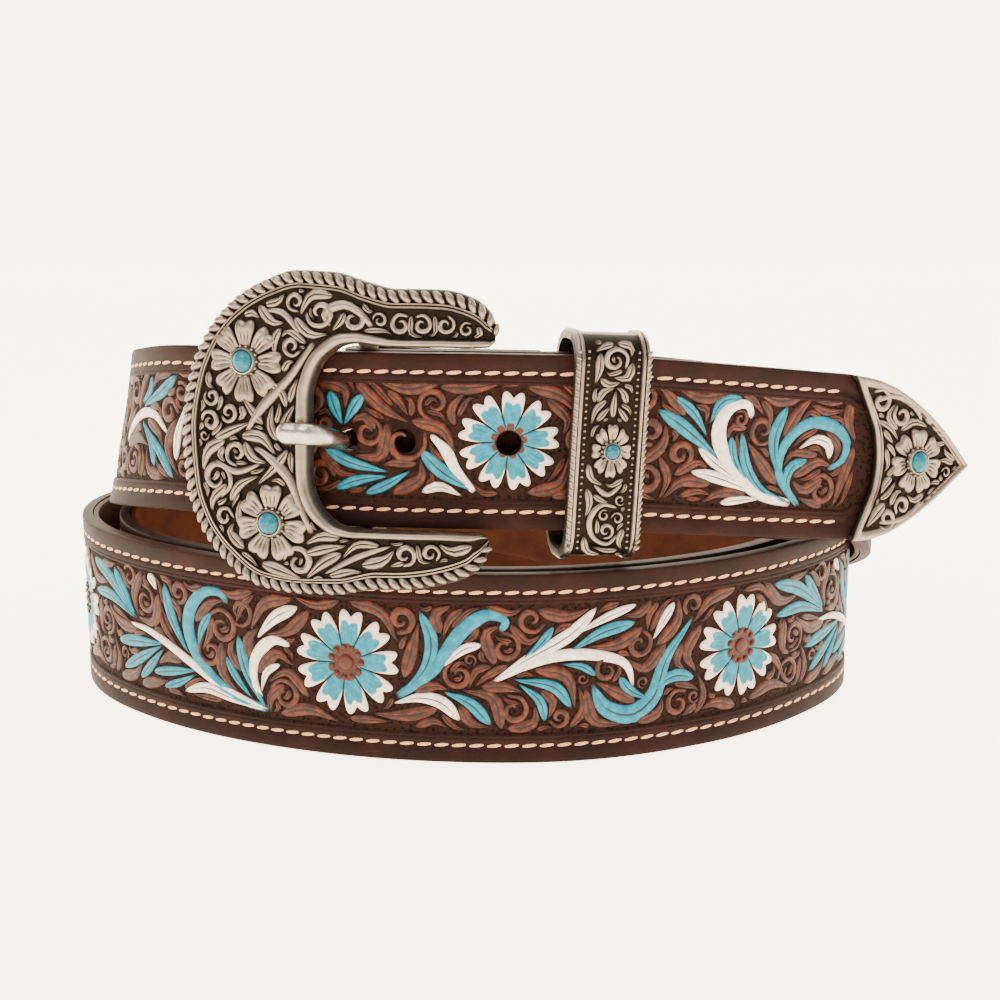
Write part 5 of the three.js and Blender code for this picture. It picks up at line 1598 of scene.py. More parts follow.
@dataclass
class Buckle:
    """The cast silver frame with rope edge, double line, scrollwork, flowers and heel bar."""

    coil: Coil
    length: float = 65.1
    half_height: float = 31.2
    left_reach: float = 34.4
    rise: float = 1.8
    clearance: float = 0.5
    tilt_deg: float = 4.0
    rope: float = 2.6
    rope_height: float = 3.5
    line: float = 1.2
    panel: float = 2.3
    inner_rim: float = 2.6
    inner_height: float = 3.9
    rope_pitch: float = 2.15
    arm_drop: float = 0.04
    relief: float = 0.75
    bar_radius: float = 2.0
    bar_clearance: float = 0.3
    lug: tuple[float, float] = (5.0, 2.8)
    lug_clearance: float = 0.7
    flowers: tuple[tuple[float, float, float, int], ...] = ((-19.3, 13.0, 8.2, 8), (-13.4, -17.8, 7.7, 7))
    stone_radius: float = 2.05
    oval_turns: Array = field(init=False)
    oval_walked: Array = field(init=False)
    middle: float = field(init=False)

    def __post_init__(self) -> None:
        """Measures the oval's line that the buckle lies on."""
        self.oval_turns = np.arange(2.6, 3.3, 1 / 4000)
        plan = self.coil.offset(self.oval_turns, self.clearance)
        self.oval_walked = np.concatenate([[0], np.cumsum(np.linalg.norm(np.diff(plan, axis=0), axis=1))])
        self.middle = float(self.coil.fitting(self.coil.hole_turn).point(0.0, self.rise, 0.0)[2])

    def surface(self, along: Array, up: Array, out: Array) -> Array:
        """Points of the curved, slightly tilted buckle.

        Args:
            along: distance from the prong hole.
            up: distance from the buckle's middle.
            out: height over its back face.

        Returns:
            Points in the coil's frame.
        """
        along, up, out = np.broadcast_arrays(np.asarray(along, float), up, out)
        start = np.interp(self.coil.hole_turn, self.oval_turns, self.oval_walked)
        turn = np.interp(start + along, self.oval_walked, self.oval_turns)
        tilt = math.radians(self.tilt_deg)
        away = self.clearance - (up + self.half_height) * math.sin(tilt) + out * math.cos(tilt)
        plan = self.coil.offset(turn, away)
        height = self.middle + up * math.cos(tilt) + out * math.sin(tilt)
        return np.concatenate([plan, height[..., None]], axis=-1)

    def rows(self, fine: int) -> tuple[Array, Array]:
        """Outer and inner outline, smooth between the table's rows.

        Args:
            fine: steps between two rows.

        Returns:
            Outer and inner points, along and up.
        """
        index = np.arange(len(FRAME_SECTIONS), dtype=float)
        at = np.linspace(0, index[-1], (len(index) - 1) * fine + 1)
        columns = [blend(index, column, at) for column in FRAME_SECTIONS.T]
        columns[3] = columns[3] - self.arm_drop * np.clip((7.5 - at) / 2.5, 0, 1)
        columns[1] = columns[1] - self.arm_drop * bump(at, 20.8, 1.4)
        place = [columns[0] * self.length - self.left_reach, columns[1] * self.half_height,
                 columns[2] * self.length - self.left_reach, columns[3] * self.half_height]
        return np.stack(place[:2], axis=-1), np.stack(place[2:], axis=-1)

    def make(self, bench: Bench, finish: bpy.types.Material) -> None:
        """Builds the frame.

        Args:
            bench: puts it in place.
            finish: its silver.
        """
        body = Body()
        outer, inner = self.rows(12)
        width = np.linalg.norm(outer - inner, axis=-1)
        fit = np.minimum(1, width / (self.rope + self.line + self.inner_rim + 1))
        tall = np.minimum(1, 0.45 + width / 12)
        arm = np.clip((np.abs(np.linspace(-1, 1, len(width)) + 0.04) - 0.35) * 4, 0, 1)
        rim = self.inner_rim * (1 - 0.4 * arm) * fit
        across, height, tone = self.section(width, fit, rim)
        at = outer[:, None] + (inner - outer)[:, None] * (across / width[:, None])[..., None]
        rings = self.surface(at[..., 0], at[..., 1], height * tall[:, None])
        chart = np.stack(np.broadcast_arrays(at[..., 0], at[..., 1], height), axis=-1)
        body.sweep(rings, chart, tone)
        self.rope_edge(body, outer, inner, fit, tall)
        lines = self.rope + self.line + 0.5
        middle = (outer + inner) / 2
        half = np.where(width > 7.5, (width - lines - rim - 0.2) / 2, 0)
        middle = outer + (inner - outer) * ((lines + half) / width)[:, None]

        def rims(spots: Array) -> Array:
            """Distance to the panel's rims."""
            return (half[None] - np.linalg.norm(spots[:, None] - middle[None], axis=-1)).max(axis=1)

        def room(spots: Array) -> Array:
            """Distance to the panel's rims and to the flowers."""
            stand = [np.hypot(spots[:, 0] - x, spots[:, 1] - y) - r for x, y, r, _ in self.flowers]
            return np.min([rims(spots), *stand], axis=0)

        filler = Filler(0.5, 2.6, 0.4, 5.0, 190)
        kept = [stroke for stroke in FRAME_SCROLLS if rims(filler.marks([stroke])[:, :2]).min() > 0.3]
        more = filler.fill(room, (-34.0, -31.0), (31.0, 31.0), kept)
        for stroke in (*kept, *more):
            body.stroke(self.surface, stroke, self.panel, self.relief)
        for along, up, radius, petals in self.flowers:
            body.rosette(self.surface, (along, up), radius, petals, self.panel, 0.85, 90.0, 1.0, 3, True)
            body.seat(self.surface, (along, up), self.stone_radius, self.panel + 0.3, self.panel + 1.12)
        self.heel(body)
        bench.build("buckle_frame_fine", body, finish, Slot.SILVER, "buckle_frame", sharp_deg=55)

    def section(self, width: Array, fit: Array, wide: Array) -> tuple[Array, Array, Array]:
        """Profile across the frame: rope bed, double line, panel and smooth inner rim.

        Args:
            width: the frame's width at each row.
            fit: how far the rims are narrowed to fit it.
            wide: width of the smooth inner rim.

        Returns:
            Distance in from the outer edge, height and tone, by row and point.
        """
        rope, line = self.rope * fit, (self.rope + self.line) * fit
        rim = width - wide
        p, top = self.panel, self.inner_height
        arc = np.linspace(0.08, 0.97, 9)[:-1]
        rows = [(0 * width, 0.0, 0.8), (0 * width, 0.9, 0.6), (0.1 * rope, 1.9, 0.4),
                (0.5 * rope, 2.6, 0.1), (0.95 * rope, 2.2, 0.1), (rope, p - 0.2, 0.0),
                (rope + 0.12 * (line - rope), 2.85, 1.0), (rope + 0.34 * (line - rope), 2.85, 1.0),
                (rope + 0.48 * (line - rope), 2.5, 0.1),
                (rope + 0.62 * (line - rope), 2.8, 1.0), (rope + 0.86 * (line - rope), 2.8, 1.0),
                (line, p, 0.0), ((line * 2 + rim) / 3, p, 0.0), ((line + 2 * rim) / 3, p, 0.0),
                (rim - 0.1 * fit, p, 0.0)]
        rows += [(rim + wide * s, top * (0.62 + 0.38 * math.sqrt(1 - (1.9 * s - 0.9) ** 2)), 1.0)
                 for s in arc]
        rows += [(width, top * 0.4, 0.9), (width, 0.0, 0.8)]
        across = np.stack([row[0] for row in rows], axis=-1)
        height = np.broadcast_to([row[1] for row in rows], across.shape)
        return across, height, np.broadcast_to([row[2] for row in rows], across.shape)

    def rope_edge(self, body: Body, outer: Array, inner: Array, fit: Array, tall: Array) -> None:
        """Slanted strands of a rope round the outer edge.

        Args:
            body: what they are added to.
            outer: outer outline.
            inner: inner outline.
            fit: how far the rims are narrowed at each row.
            tall: how far the heights are lowered at each row.
        """
        inward = unit(inner - outer)
        line = outer + inward * (self.rope * 0.5 * fit + 0.25)[:, None]
        line[0] = inner[0] - inward[0] * 0.6
        line[-1] = inner[-1] - inward[-1] * 0.6
        walked = np.concatenate([[0], np.cumsum(np.linalg.norm(np.diff(line, axis=0), axis=1))])
        places = np.arange(1.7, walked[-1] - 1.5, self.rope_pitch)
        at = np.stack([np.interp(places, walked, line[:, k]) for k in (0, 1)], axis=-1)
        ahead = unit(np.gradient(at, axis=0))
        lift = np.interp(places, walked, 2.5 * np.maximum(tall, 0.8))
        size = np.interp(places, walked, np.maximum(fit, 0.8))
        turn = np.arctan2(ahead[:, 1], ahead[:, 0]) - math.radians(44)
        for k in range(len(places)):
            middle = np.array([[at[k, 0], at[k, 1], lift[k]]])
            body.beads(self.surface, middle, (1.6 * size[k], 0.8 * size[k], 1.0), turn[k], 10, 10)

    def heel(self, body: Body) -> None:
        """Two lugs behind the arms and the bar that joins them."""
        coil = self.coil
        bar = coil.fitting(coil.bar_turn)
        deep = coil.leather + self.bar_radius + self.bar_clearance
        bottom = -coil.billet_width / 2 - self.lug_clearance - self.lug[1]
        top = self.rise + FRAME_SECTIONS[3, 3] * self.half_height + 0.1
        angle = np.linspace(0, 2 * np.pi, 24, endpoint=False)
        along, out = self.bar_radius * np.cos(angle), self.bar_radius * np.sin(angle) - deep
        rings = np.array([[bar.point(x, u, y) for x, y in zip(along, out)]
                          for u in (bottom, top + self.lug[1])])
        body.sweep(rings, rings, np.full(rings.shape[:2], 0.7))
        for base in (bottom, top):
            front = self.surface(coil.bar_offset, base + self.lug[1] / 2 - self.rise, self.panel / 2)
            reach = float(np.linalg.norm(bar.point(0.0, base + self.lug[1] / 2, -deep) - front))
            x, r = self.lug[0] / 2, 0.5
            outline = [(-x + r, -x), (x - r, -x), (x, -x + r), (x, reach), (-x, reach), (-x, -x + r)]
            rings = np.array([[bar.point(a * s, u, -deep + o) for a, o in outline]
                              for u, s in ((base, 0.94), (base + 0.3, 1.0), (base + self.lug[1] - 0.3, 1.0),
                                           (base + self.lug[1], 0.94))])
            body.sweep(rings, rings, np.full(rings.shape[:2], 0.6))


@dataclass
class Prong:
    """The polished prong: an eye on the bar and a shank through the billet to the rim."""

    buckle: Buckle
    width: float = 4.3
    thick: float = 3.0
    reach: float = 10.8
    eye_wall: float = 1.6
    opening_share: float = 0.441

    def middle_line(self) -> Array:
        """Even points along the shank's middle line."""
        coil, buckle = self.buckle.coil, self.buckle
        bar, hole = coil.fitting(coil.bar_turn), coil.fitting(coil.hole_turn)
        rest = buckle.inner_height + self.thick / 2 + buckle.bar_clearance
        opening = self.opening_share * buckle.length - buckle.left_reach
        points = np.array([
            bar.point(0.0, 0.0, self.eye_wall * 0.7 - coil.leather),
            hole.point(coil.bar_offset * 0.3, 0.0, -coil.strap), hole.point(0.0, 0.0, -coil.leather / 2),
            hole.point(0.0, 0.0, self.thick / 3), buckle.surface(opening + self.thick / 2, 0.0, rest),
            buckle.surface(opening - buckle.inner_rim / 2, 0.0, rest),
            buckle.surface(-self.reach, 0.0, rest)])
        padded = np.concatenate([[2 * points[0] - points[1]], points, [2 * points[-1] - points[-2]]])
        dense = []
        for i in range(1, len(padded) - 2):
            p = padded[i - 1:i + 3]
            d0, d1, d2 = (math.sqrt(float(np.linalg.norm(p[k + 1] - p[k]))) for k in range(3))
            first = ((p[1] - p[0]) / d0 - (p[2] - p[0]) / (d0 + d1) + (p[2] - p[1]) / d1) * d1
            second = ((p[2] - p[1]) / d1 - (p[3] - p[1]) / (d1 + d2) + (p[3] - p[2]) / d2) * d1
            t = np.linspace(0, 1, 40, endpoint=False)[:, None]
            dense.append(p[1] + first * t + (-3 * p[1] + 3 * p[2] - 2 * first - second) * t**2
                         + (2 * p[1] - 2 * p[2] + first + second) * t**3)
        curve = np.concatenate([*dense, points[-1:]])
        walked = np.concatenate([[0], np.cumsum(np.linalg.norm(np.diff(curve, axis=0), axis=1))])
        even = np.linspace(0, walked[-1], 70)
        return np.stack([np.interp(even, walked, curve[:, k]) for k in range(3)], axis=-1)

    def make(self, bench: Bench, finish: bpy.types.Material) -> None:
        """Builds the prong.

        Args:
            bench: puts it in place.
            finish: its polished silver.
        """
        coil, body = self.buckle.coil, Body()
        line = self.middle_line()
        at = np.linspace(0, 1, len(line))
        ahead = unit(np.gradient(line, axis=0))
        up = coil.fitting(coil.hole_turn).up
        across = unit(up - ahead * (ahead @ up)[:, None])
        deep = np.cross(ahead, across)
        grow = np.minimum(1, 0.8 + np.maximum(0, at - 0.35) * 1.2)
        tip = np.where(at > 0.9, np.sqrt(np.clip(1 - ((at - 0.9) / 0.102) ** 2, 0, 1)), 1.0)
        angle = np.linspace(0, 2 * np.pi, 28, endpoint=False)
        c, s = np.cos(angle), np.sin(angle)
        wide = np.sign(c) * np.abs(c) ** 0.85
        size = (grow * tip)[:, None]
        rings = (line[:, None] + across[:, None] * (self.width / 2 * size * wide)[..., None]
                 + deep[:, None] * (self.thick / 2 * size * s)[..., None])
        body.sweep(rings, rings, np.full(rings.shape[:2], 0.95))
        bar = coil.fitting(coil.bar_turn)
        inner = self.buckle.bar_radius + self.buckle.bar_clearance
        middle = -coil.leather - inner
        half, r = self.width / 2, 0.4
        outline = [(inner, -half), (inner + self.eye_wall - r, -half), (inner + self.eye_wall, -half + r),
                   (inner + self.eye_wall, half - r), (inner + self.eye_wall - r, half), (inner, half)]
        rings = np.array([[bar.point(q * math.cos(a), u, middle + q * math.sin(a)) for q, u in outline]
                          for a in np.linspace(0, 2 * np.pi, 32, endpoint=False)])
        body.sweep(rings, rings, np.full(rings.shape[:2], 0.9), loop=True)
        bench.build("prong_fine", body, finish, Slot.SILVER, "prong", sharp_deg=60)


KEEPER_SCROLLS = (
    curl(B, 1.5, (0.2, 17), 2.7, 90, -1.35), leaf(B, 2, (-2.6, 13.6), (-0.8, 12.4), (1.6, 13)),
    leaf(B, 1.9, (-2.8, 9), (-1.8, 11), (0.6, 12)),
    leaf(B, 1.9, (3, 8.8), (2.2, 11), (0.6, 12)),
    leaf(B, 1.8, (0.4, 6), (0.4, 8.4), (0.6, 11.6)), leaf(B, 1.7, (-2.8, 5.4), (-1.6, 6.8), (-0.2, 8.4)),
    leaf(B, 1.7, (3.4, 5.4), (2.4, 6.8), (1, 8.4)),
    scroll(B, 1.5, (-2.6, -6.6), (0.4, -8.6), (3.2, -6.4)),
    scroll(B, 1.6, (2.6, -11.2), (-0.6, -10.6), (-2.8, -13.2), (-2.2, -16.6), (0.8, -18.2), (3, -16.4)),
    leaf(B, 1.6, (-2.6, -8.6), (-1, -9.6), (0.8, -10.2)),
    leaf(B, 1.4, (3.2, -19.4), (0.4, -19.4), (-2.2, -18.6)),
)


@dataclass
class Keeper:
    """The silver loop round the billet, with rope edges, a flower and small scrolls."""

    coil: Coil
    place: float = 48.9
    width: float = 14.8
    height: float = 43.2
    metal: float = 1.3
    clearance: float = 1.3
    rim: float = 0.6
    rim_width: float = 1.9
    corner: float = 5.4
    lean_deg: float = -0.3
    yaw_deg: float = 4.0
    drop: float = 0.5
    flower: tuple[float, float, float] = (0.5, -0.2, 4.1)
    stone_radius: float = 1.4

    def frame(self) -> Stations:
        """The billet's station, leaned and turned as the keeper hangs."""
        own = self.coil.fitting(float(self.coil.after(self.coil.hole_turn, self.place)))
        lean, yaw = math.radians(self.lean_deg), math.radians(self.yaw_deg)
        middle = own.point(0.0, -self.drop, 0.0)
        up = own.up * math.cos(lean) + own.forward * math.sin(lean)
        out = (own.out * math.cos(yaw) + np.cross(up, own.out) * math.sin(yaw)
               + up * np.dot(up, own.out) * (1 - math.cos(yaw)))
        return Stations(middle, np.cross(up, out), up, out, np.array(0.0))

    @property
    def front(self) -> float:
        """Distance of the front face from the strap's outer face."""
        return self.clearance + self.metal

    def make(self, bench: Bench, finish: bpy.types.Material) -> None:
        """Builds the loop and its relief.

        Args:
            bench: puts it in place.
            finish: its silver.
        """
        body, frame = Body(), self.frame()
        back = -(self.coil.pitch * 1.15 + self.coil.strap + self.clearance + self.metal)
        w, h, r = (self.front - back) / 2, self.height / 2, self.corner
        arcs = [(w - r, -h + r, -90), (w - r, h - r, 0), (-w + r, h - r, 90), (-w + r, -h + r, 180)]
        loop, normal = [], []
        for x, y, first in arcs:
            for angle in np.radians(first + np.linspace(0, 90, 10)):
                loop.append((x + r * math.cos(angle), y + r * math.sin(angle)))
                normal.append((-math.cos(angle), -math.sin(angle)))
        loop, normal = np.array(loop), np.array(normal)
        half, e = self.width / 2, self.rim_width
        section = [(-half, self.metal, 0.2), (-half, 0, 0.4), (-half + 0.15, -0.35, 0.8),
                   (-half + 0.45, -self.rim, 1), (-half + e * 0.42, -self.rim, 1),
                   (-half + e * 0.5, -0.3, 0.1), (-half + e * 0.62, -0.5, 1),
                   (-half + e * 0.84, -0.5, 1), (-half + e, 0, 0), (-half + e + 1.2, 0, 0)]
        section += [(-a, d, t) for a, d, t in section[::-1]]
        section = np.array(section)
        out = loop[:, :1] + normal[:, :1] * section[:, 1] + (self.front + back) / 2
        up = loop[:, 1:] + normal[:, 1:] * section[:, 1]
        rings = frame.point(np.broadcast_to(section[:, 0], out.shape), up, out)
        chart = np.stack(np.broadcast_arrays(section[:, 0], up, out), axis=-1)
        tone = np.where(out < self.front - 4, np.maximum(section[:, 2], 0.6), section[:, 2])
        body.sweep(rings, chart, tone, loop=True)
        ups = np.arange(-h + 2.6, h - 2.4, 1.25)
        same = np.ones(len(ups))
        for side in (-1, 1):
            rope = np.stack([same * side * (half - 0.42), ups, same * (self.front + 0.42)], axis=-1)
            body.beads(frame.point, rope, (0.62, 0.4, 0.34), side * 0.7, 6, 8)
            dots = np.stack([same * side * (half - e - 0.55), ups, same * (self.front + 0.05)], axis=-1)
            body.beads(frame.point, dots, (0.3, 0.3, 0.25), 0.0, 5, 6)
        def room(spots: Array) -> Array:
            """Distance to the rims and the flower."""
            stand = np.hypot(spots[:, 0] - 0.5, (spots[:, 1] + 0.2) / 1.32) - 4.3
            return np.minimum(np.minimum(4.2 - np.abs(spots[:, 0]), 20.6 - np.abs(spots[:, 1])), stand)

        more = Filler(0.45, 1.9, 0.3, 3.4, 60).fill(room, (-4.6, -21.0), (4.6, 21.0), KEEPER_SCROLLS)
        for stroke in (*KEEPER_SCROLLS, *more):
            body.stroke(frame.point, stroke, self.front, 0.55)
        along, up0, radius = self.flower
        body.rosette(frame.point, (along, up0), radius, 8, self.front, 0.8, 90.0, 1.32, 1, True)
        body.seat(frame.point, (along, up0), self.stone_radius, self.front + 0.3, self.front + 1.12)
        bench.build("keeper_loop_fine", body, finish, Slot.SILVER, "keeper_loop", sharp_deg=50)


TIP_SCROLLS = (
    curl(B, 1.7, (6.4, 12.2), 2.6, 30, 1.3), curl(B, 1.7, (12, 9.6), 2.4, 210, -1.25),
    scroll(B, 2, (17.6, 8.6), (14.6, 12), (9.6, 13.4), (4.6, 12)),
    leaf(B, 1.8, (5.8, 8.2), (9, 7), (11.6, 4.2)),
    curl(B, 1.7, (9.8, -12), 2.5, 330, -1.3), curl(B, 1.7, (14, -9.2), 2.2, 150, 1.25),
    scroll(B, 2, (19.4, -7.6), (16.6, -11), (12.4, -12.4), (7.8, -12.8)),
    leaf(B, 1.8, (7.4, -8), (9.8, -6.6), (11.6, -3.8)),
    leaf(B, 1.8, (8.4, 3.6), (10, 2.4), (11, 0.6)),
    leaf(B, 1.8, (9, -3), (10.4, -1.8), (11, -0.4)),
    leaf(B, 1.8, (27.6, 0.2), (25, 0.9), (22.9, 0.6)),
    leaf(B, 1.6, (24.4, 4.6), (22.6, 4.2), (21.2, 4.8)),
    leaf(B, 1.6, (24.4, -3.9), (22.6, -3.8), (21.2, -4.4)),
)


@dataclass
class Tip:
    """The pointed silver tip, with a smooth double border, scrolls and a flower."""

    strap: Strap
    metal: float = 1.0
    clearance: float = 0.3
    rim: float = 0.7
    rim_width: float = 1.8
    bite: float = 0.19
    flower: tuple[float, float, float] = (17.0, 0.3, 7.0)
    stone_radius: float = 2.1

    @property
    def front(self) -> float:
        """Distance of the front face from the strap's outer face."""
        return self.clearance + self.metal

    def surface(self, along: Array, up: Array, out: Array) -> Array:
        """Points of the tip, whose base is cut on the skew.

        Args:
            along: distance from its base corners.
            up: distance from its middle.
            out: distance from the strap's outer face.

        Returns:
            Points in the coil's frame.
        """
        coil = self.strap.coil
        frame = coil.fitting(coil.tip_turn)
        along, up, out = np.broadcast_arrays(np.asarray(along, float), up, out)
        return frame.point(along + self.strap.skew(along, up), up, out)

    def make(self, bench: Bench, finish: bpy.types.Material) -> None:
        """Builds the tip and cuts its mouth.

        Args:
            bench: puts it in place.
            finish: its silver.
        """
        body, strap = Body(), self.strap
        length, coil = strap.tip_length, strap.coil
        t = np.concatenate([[0, 0.004, 0.012, 0.03], np.linspace(0.05, 0.985, 74), [1.0]])[:, None]
        w = np.concatenate([[-1, -0.99, -0.97], np.linspace(-0.94, 0.94, 58), [0.97, 0.99, 1]])[None]
        base_up = np.array([-1, -0.84, -0.62, -0.32, 0, 0.32, 0.62, 0.84, 1])
        base_back = np.array([0, 0.04, 0.1, 0.17, self.bite, 0.17, 0.1, 0.04, 0])
        start = blend(base_up, base_back, w) * length
        along = start + (length - start) * t
        up = w * strap.tip_half(along)
        slope = (strap.tip_half(np.minimum(along + 0.1, length)) - strap.tip_half(along)) / 0.1
        side = (strap.tip_half(along) - np.abs(up)) / np.sqrt(1 + slope**2)
        edge = np.minimum(side, (along - start) * 0.94)
        hump = np.sqrt(np.clip(1 - ((edge - 0.62) / 0.64) ** 2, 0, 1))
        inner = np.sqrt(np.clip(1 - ((edge - 1.52) / 0.27) ** 2, 0, 1)) * 0.75
        lift = self.front - 0.15 * (edge < 0.02) + self.rim * np.maximum(hump, inner)
        tone = np.clip(np.maximum(hump, inner) * 1.4, 0, 1)
        top = self.surface(along, up, lift)
        low = self.surface(along, up, np.full_like(along, -coil.leather - self.clearance - self.metal))
        self.sheet(body, top, low, np.stack(np.broadcast_arrays(along, up, lift), axis=-1), tone)
        relief = Body()

        def room(spots: Array) -> Array:
            """Distance to the border and the flower."""
            back = blend(base_up, base_back, np.clip(spots[:, 1] / 16.9, -1, 1)) * length
            side = (strap.tip_half(np.clip(spots[:, 0], 0, length)) - np.abs(spots[:, 1])) * 0.83
            stand = np.hypot(spots[:, 0] - self.flower[0], spots[:, 1] - self.flower[1]) - self.flower[2]
            return np.min([side - 2.0, spots[:, 0] - back - 2.0, stand], axis=0)

        more = Filler(0.45, 2.2, 0.35, 4.5, 70).fill(room, (0.0, -16.0), (31.0, 16.0), TIP_SCROLLS)
        for stroke in (*TIP_SCROLLS, *more):
            relief.stroke(self.surface, stroke, self.front, 0.6)
        along0, up0, radius = self.flower
        relief.rosette(self.surface, (along0, up0), radius, 7, self.front, 0.8, 90.0, 1.0, 3, True)
        relief.seat(self.surface, (along0, up0), self.stone_radius, self.front + 0.3, self.front + 1.12)
        piece = bench.build("belt_tip_fine", body, finish, Slot.SILVER, "belt_tip", sharp_deg=50)
        bench.cut(piece, self.mouth())
        bench.build("tip_relief", relief, finish, Slot.SILVER, sharp_deg=55)

    def sheet(self, body: Body, top: Array, low: Array, chart: Array, tone: Array) -> None:
        """Closes a front and a back sheet of the same rows and columns to one solid.

        Args:
            body: what it is added to.
            top: front points by row and column.
            low: back points by row and column.
            chart: chart places of the front.
            tone: tones of the front.
        """
        rows, columns = top.shape[:2]
        index = np.arange(rows * columns).reshape(rows, columns)
        corners = [index[:-1, :-1], index[1:, :-1], index[1:, 1:], index[:-1, 1:]]
        quads = np.stack(corners, axis=-1).reshape(-1, 4)
        edge = np.concatenate([index[0, :-1], index[:-1, -1], index[-1, :0:-1], index[:0:-1, 0]])
        after = np.roll(edge, -1)
        walls = np.stack([edge, after, after + index.size, edge + index.size], axis=-1)
        points = np.concatenate([top.reshape(-1, 3), low.reshape(-1, 3)])
        body.add(points, [quads, quads[:, ::-1] + index.size, walls],
                 np.concatenate([chart.reshape(-1, 3)] * 2),
                 np.concatenate([tone.ravel(), 0.6 + 0 * tone.ravel()]))

    def mouth(self) -> Body:
        """Room for the strap's end."""
        strap, body = self.strap, Body()
        end = strap.end_in_tip
        along = np.array([-self.metal - 3, self.clearance, end / 2, end, end + self.clearance])
        half = np.array([strap.coil.billet_width / 2 - self.metal] * 2
                        + [float(strap.tip_half(np.array(x))) - self.metal for x in (end / 2, end, end)])
        ring_along = np.concatenate([along, along[::-1]])
        ring_up = np.concatenate([half, -half[::-1]])
        rings = np.stack([self.surface(ring_along, ring_up, np.full(10, out))
                          for out in (-strap.coil.leather - self.clearance, self.clearance)])
        body.sweep(rings, np.zeros(3), np.zeros((2, 10)))
        return body


@dataclass
class Stones:
    """The four domed turquoise stones."""

    top: float = 1.12
    gap: float = 0.15
    dome: float = 0.62

    def make(self, bench: Bench, finish: bpy.types.Material, name: str, surface: Surface,
             middle: tuple[float, float, float], radius: float) -> None:
        """Sets one stone.

        Args:
            bench: puts it in place.
            finish: its material.
            name: the node that it stands for.
            surface: what its flower lies on.
            middle: along, up and the ground's height.
            radius: the stone's radius.
        """
        body = Body()
        angle = np.linspace(0, 2 * np.pi, 36, endpoint=False)[None]
        lat = np.radians(np.concatenate([[0, 0], np.linspace(8, 88, 12)]))[:, None]
        rise = np.sin(lat) * radius * self.dome
        shrink = np.cos(lat) * radius
        shrink[0] = radius * 0.96
        wave = 1 + 0.012 * np.sin(3 * angle + middle[0])
        along = middle[0] + shrink * np.cos(angle) * wave
        up = middle[1] + shrink * np.sin(angle)
        out = np.broadcast_to(middle[2] + self.top + self.gap + rise + 0.06 * (lat > 0), along.shape)
        body.sweep(surface(along, up, out), np.stack([along, up, out], axis=-1), np.ones(along.shape))
        bench.build(f"{name}_fine", body, finish, Slot.TURQUOISE, name, sharp_deg=70)


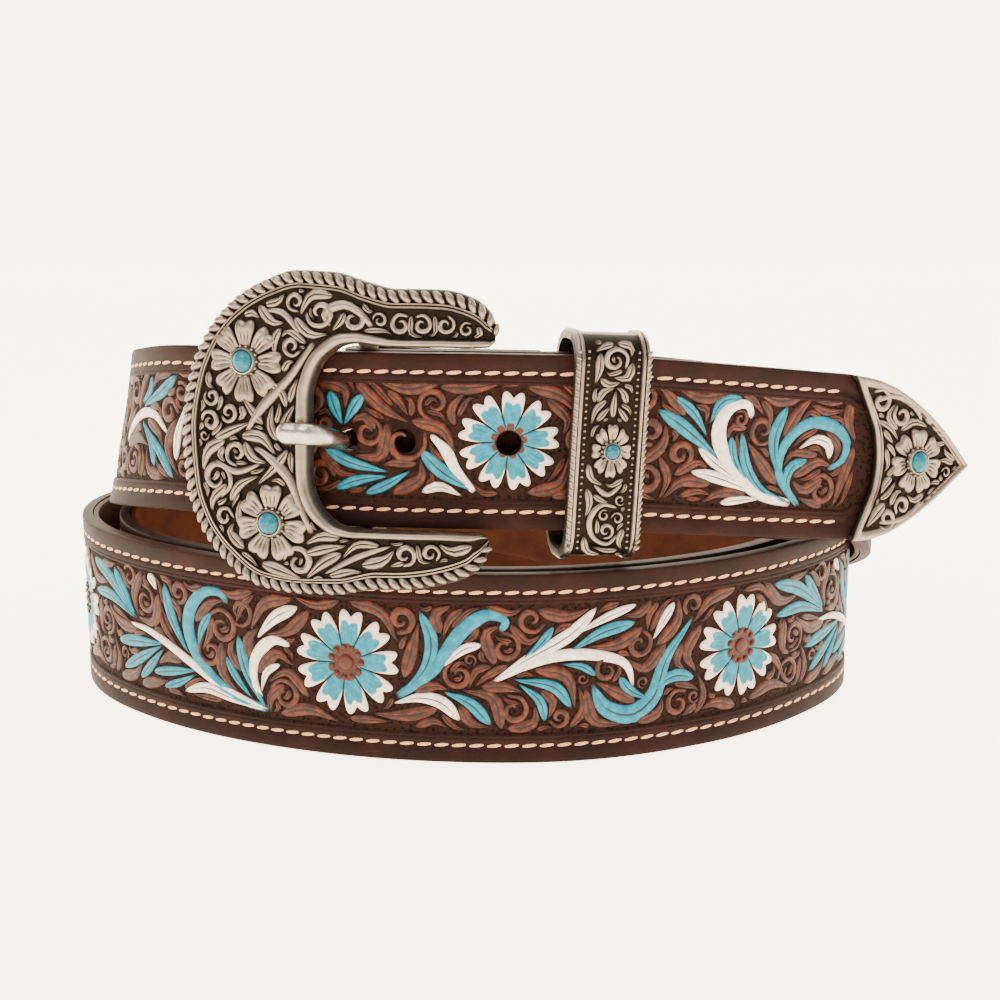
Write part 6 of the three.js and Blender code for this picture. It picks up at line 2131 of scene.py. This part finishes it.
@dataclass
class Studio:
    """Pale seamless floor, soft lights and the camera."""

    lens: float = 57.6
    pitch_deg: float = 78.6
    eye: tuple[float, float, float] = (8.5, -362.0, 112.3)
    floor: Colour = (250, 246, 238)
    glow: Colour = (255, 243, 216)

    def make(self, bench: Bench) -> None:
        """Builds the studio.

        Args:
            bench: knows where the coil's frame lies.
        """
        data = bpy.data.cameras.new("camera")
        data.lens, data.sensor_width = self.lens, 36.0
        data.clip_start, data.clip_end = 0.01, 20.0
        camera = bpy.data.objects.new("camera", data)
        camera.location = bench.place(np.array([self.eye]))[0]
        camera.rotation_euler = (math.radians(self.pitch_deg), 0, 0)
        bpy.context.scene.collection.objects.link(camera)
        bpy.context.scene.camera = camera
        self.backdrop()
        self.light("key", (-0.55, -0.75, 0.95), 0.9, 14.0)
        self.light("fill", (0.9, -0.6, 0.6), 1.1, 6.0)
        self.light("top", (0.0, 0.15, 1.2), 1.2, 12.0)
        world = bpy.data.worlds.new("studio")
        world.use_nodes = True
        world.node_tree.nodes["Background"].inputs["Color"].default_value = linear((250, 247, 242))
        world.node_tree.nodes["Background"].inputs["Strength"].default_value = 1.1
        bpy.context.scene.world = world

    def backdrop(self) -> None:
        """A floor that curves up into a wall far behind."""
        profile = [(-40.0, 0.0), (-4.0, 0.0), (1.6, 0.0)]
        profile += [(1.6 + 1.2 * math.sin(a), 1.2 - 1.2 * math.cos(a))
                    for a in np.linspace(0.1, math.pi / 2, 14)]
        profile.append((2.8, 4.0))
        points = [(x, y, z) for y, z in profile for x in (-40.0, 40.0)]
        faces = [(2 * i, 2 * i + 1, 2 * i + 3, 2 * i + 2) for i in range(len(profile) - 1)]
        mesh = bpy.data.meshes.new("floor")
        mesh.from_pydata(points, [], faces)
        mesh.shade_smooth()
        m = Mixer("pale floor")
        mesh.materials.append(m.finish(Base_Color=linear(self.floor), Roughness=0.9,
                                      Emission_Color=linear(self.glow), Emission_Strength=5.0))
        floor = bpy.data.objects.new("floor", mesh)
        bpy.context.scene.collection.objects.link(floor)

    def light(self, name: str, place: tuple[float, float, float], size: float, watts: float) -> None:
        """Adds a soft lamp that faces the belt.

        Args:
            name: its name.
            place: where it stands, in metres.
            size: its side.
            watts: its power.
        """
        data = bpy.data.lights.new(name, "AREA")
        data.energy, data.size = watts, size
        lamp = bpy.data.objects.new(name, data)
        lamp.location = place
        lamp.rotation_euler = (Vector((0, 0, 0.05)) - Vector(place)).to_track_quat("-Z", "Y").to_euler()
        bpy.context.scene.collection.objects.link(lamp)


def main() -> None:
    """Builds the belt's pieces in order."""
    logging.basicConfig(level=logging.INFO, format="%(name)s: %(message)s")
    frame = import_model()
    log.info("the frame has %d nodes", len(frame["nodes"]))
    coil = Coil()
    bench = Bench(coil)
    Studio().make(bench)
    silver = AntiqueSilver().make()
    polished = AntiqueSilver("polished silver", (176, 166, 155), (70, 62, 56), 0.15).make()
    strap = Strap(coil)
    strap.leather(bench, BorderedLeather().make())
    strap.lining(bench, SmoothLining().make())
    strap.stitches(bench, WaxedThread().make())
    paints = {Paint.TURQUOISE: PaintedRelief("painted turquoise", (0, 92, 112), (2, 120, 138)).make(),
              Paint.WHITE: PaintedRelief("painted white", (198, 180, 160), (222, 208, 194)).make(),
              Paint.BROWN: PaintedRelief("tooled brown", (44, 16, 6), (86, 35, 12)).make()}
    Tooling(coil).carve(bench, paints, PaintedFlower().make())
    buckle = Buckle(coil)
    buckle.make(bench, silver)
    Prong(buckle).make(bench, polished)
    keeper = Keeper(coil)
    keeper.make(bench, silver)
    tip = Tip(strap)
    tip.make(bench, silver)
    stones, turquoise = Stones(), VeinedStone().make()
    for name, (along, up, _, _) in zip(("stone_buckle_upper", "stone_buckle_lower"), buckle.flowers):
        stones.make(bench, turquoise, name, buckle.surface, (along, up, buckle.panel), buckle.stone_radius)
    stones.make(bench, turquoise, "stone_keeper", keeper.frame().point,
                (*keeper.flower[:2], keeper.front), keeper.stone_radius)
    stones.make(bench, turquoise, "stone_tip", tip.surface, (*tip.flower[:2], tip.front), tip.stone_radius)
    bpy.context.view_layer.update()


if __name__ == "__main__":
    main()
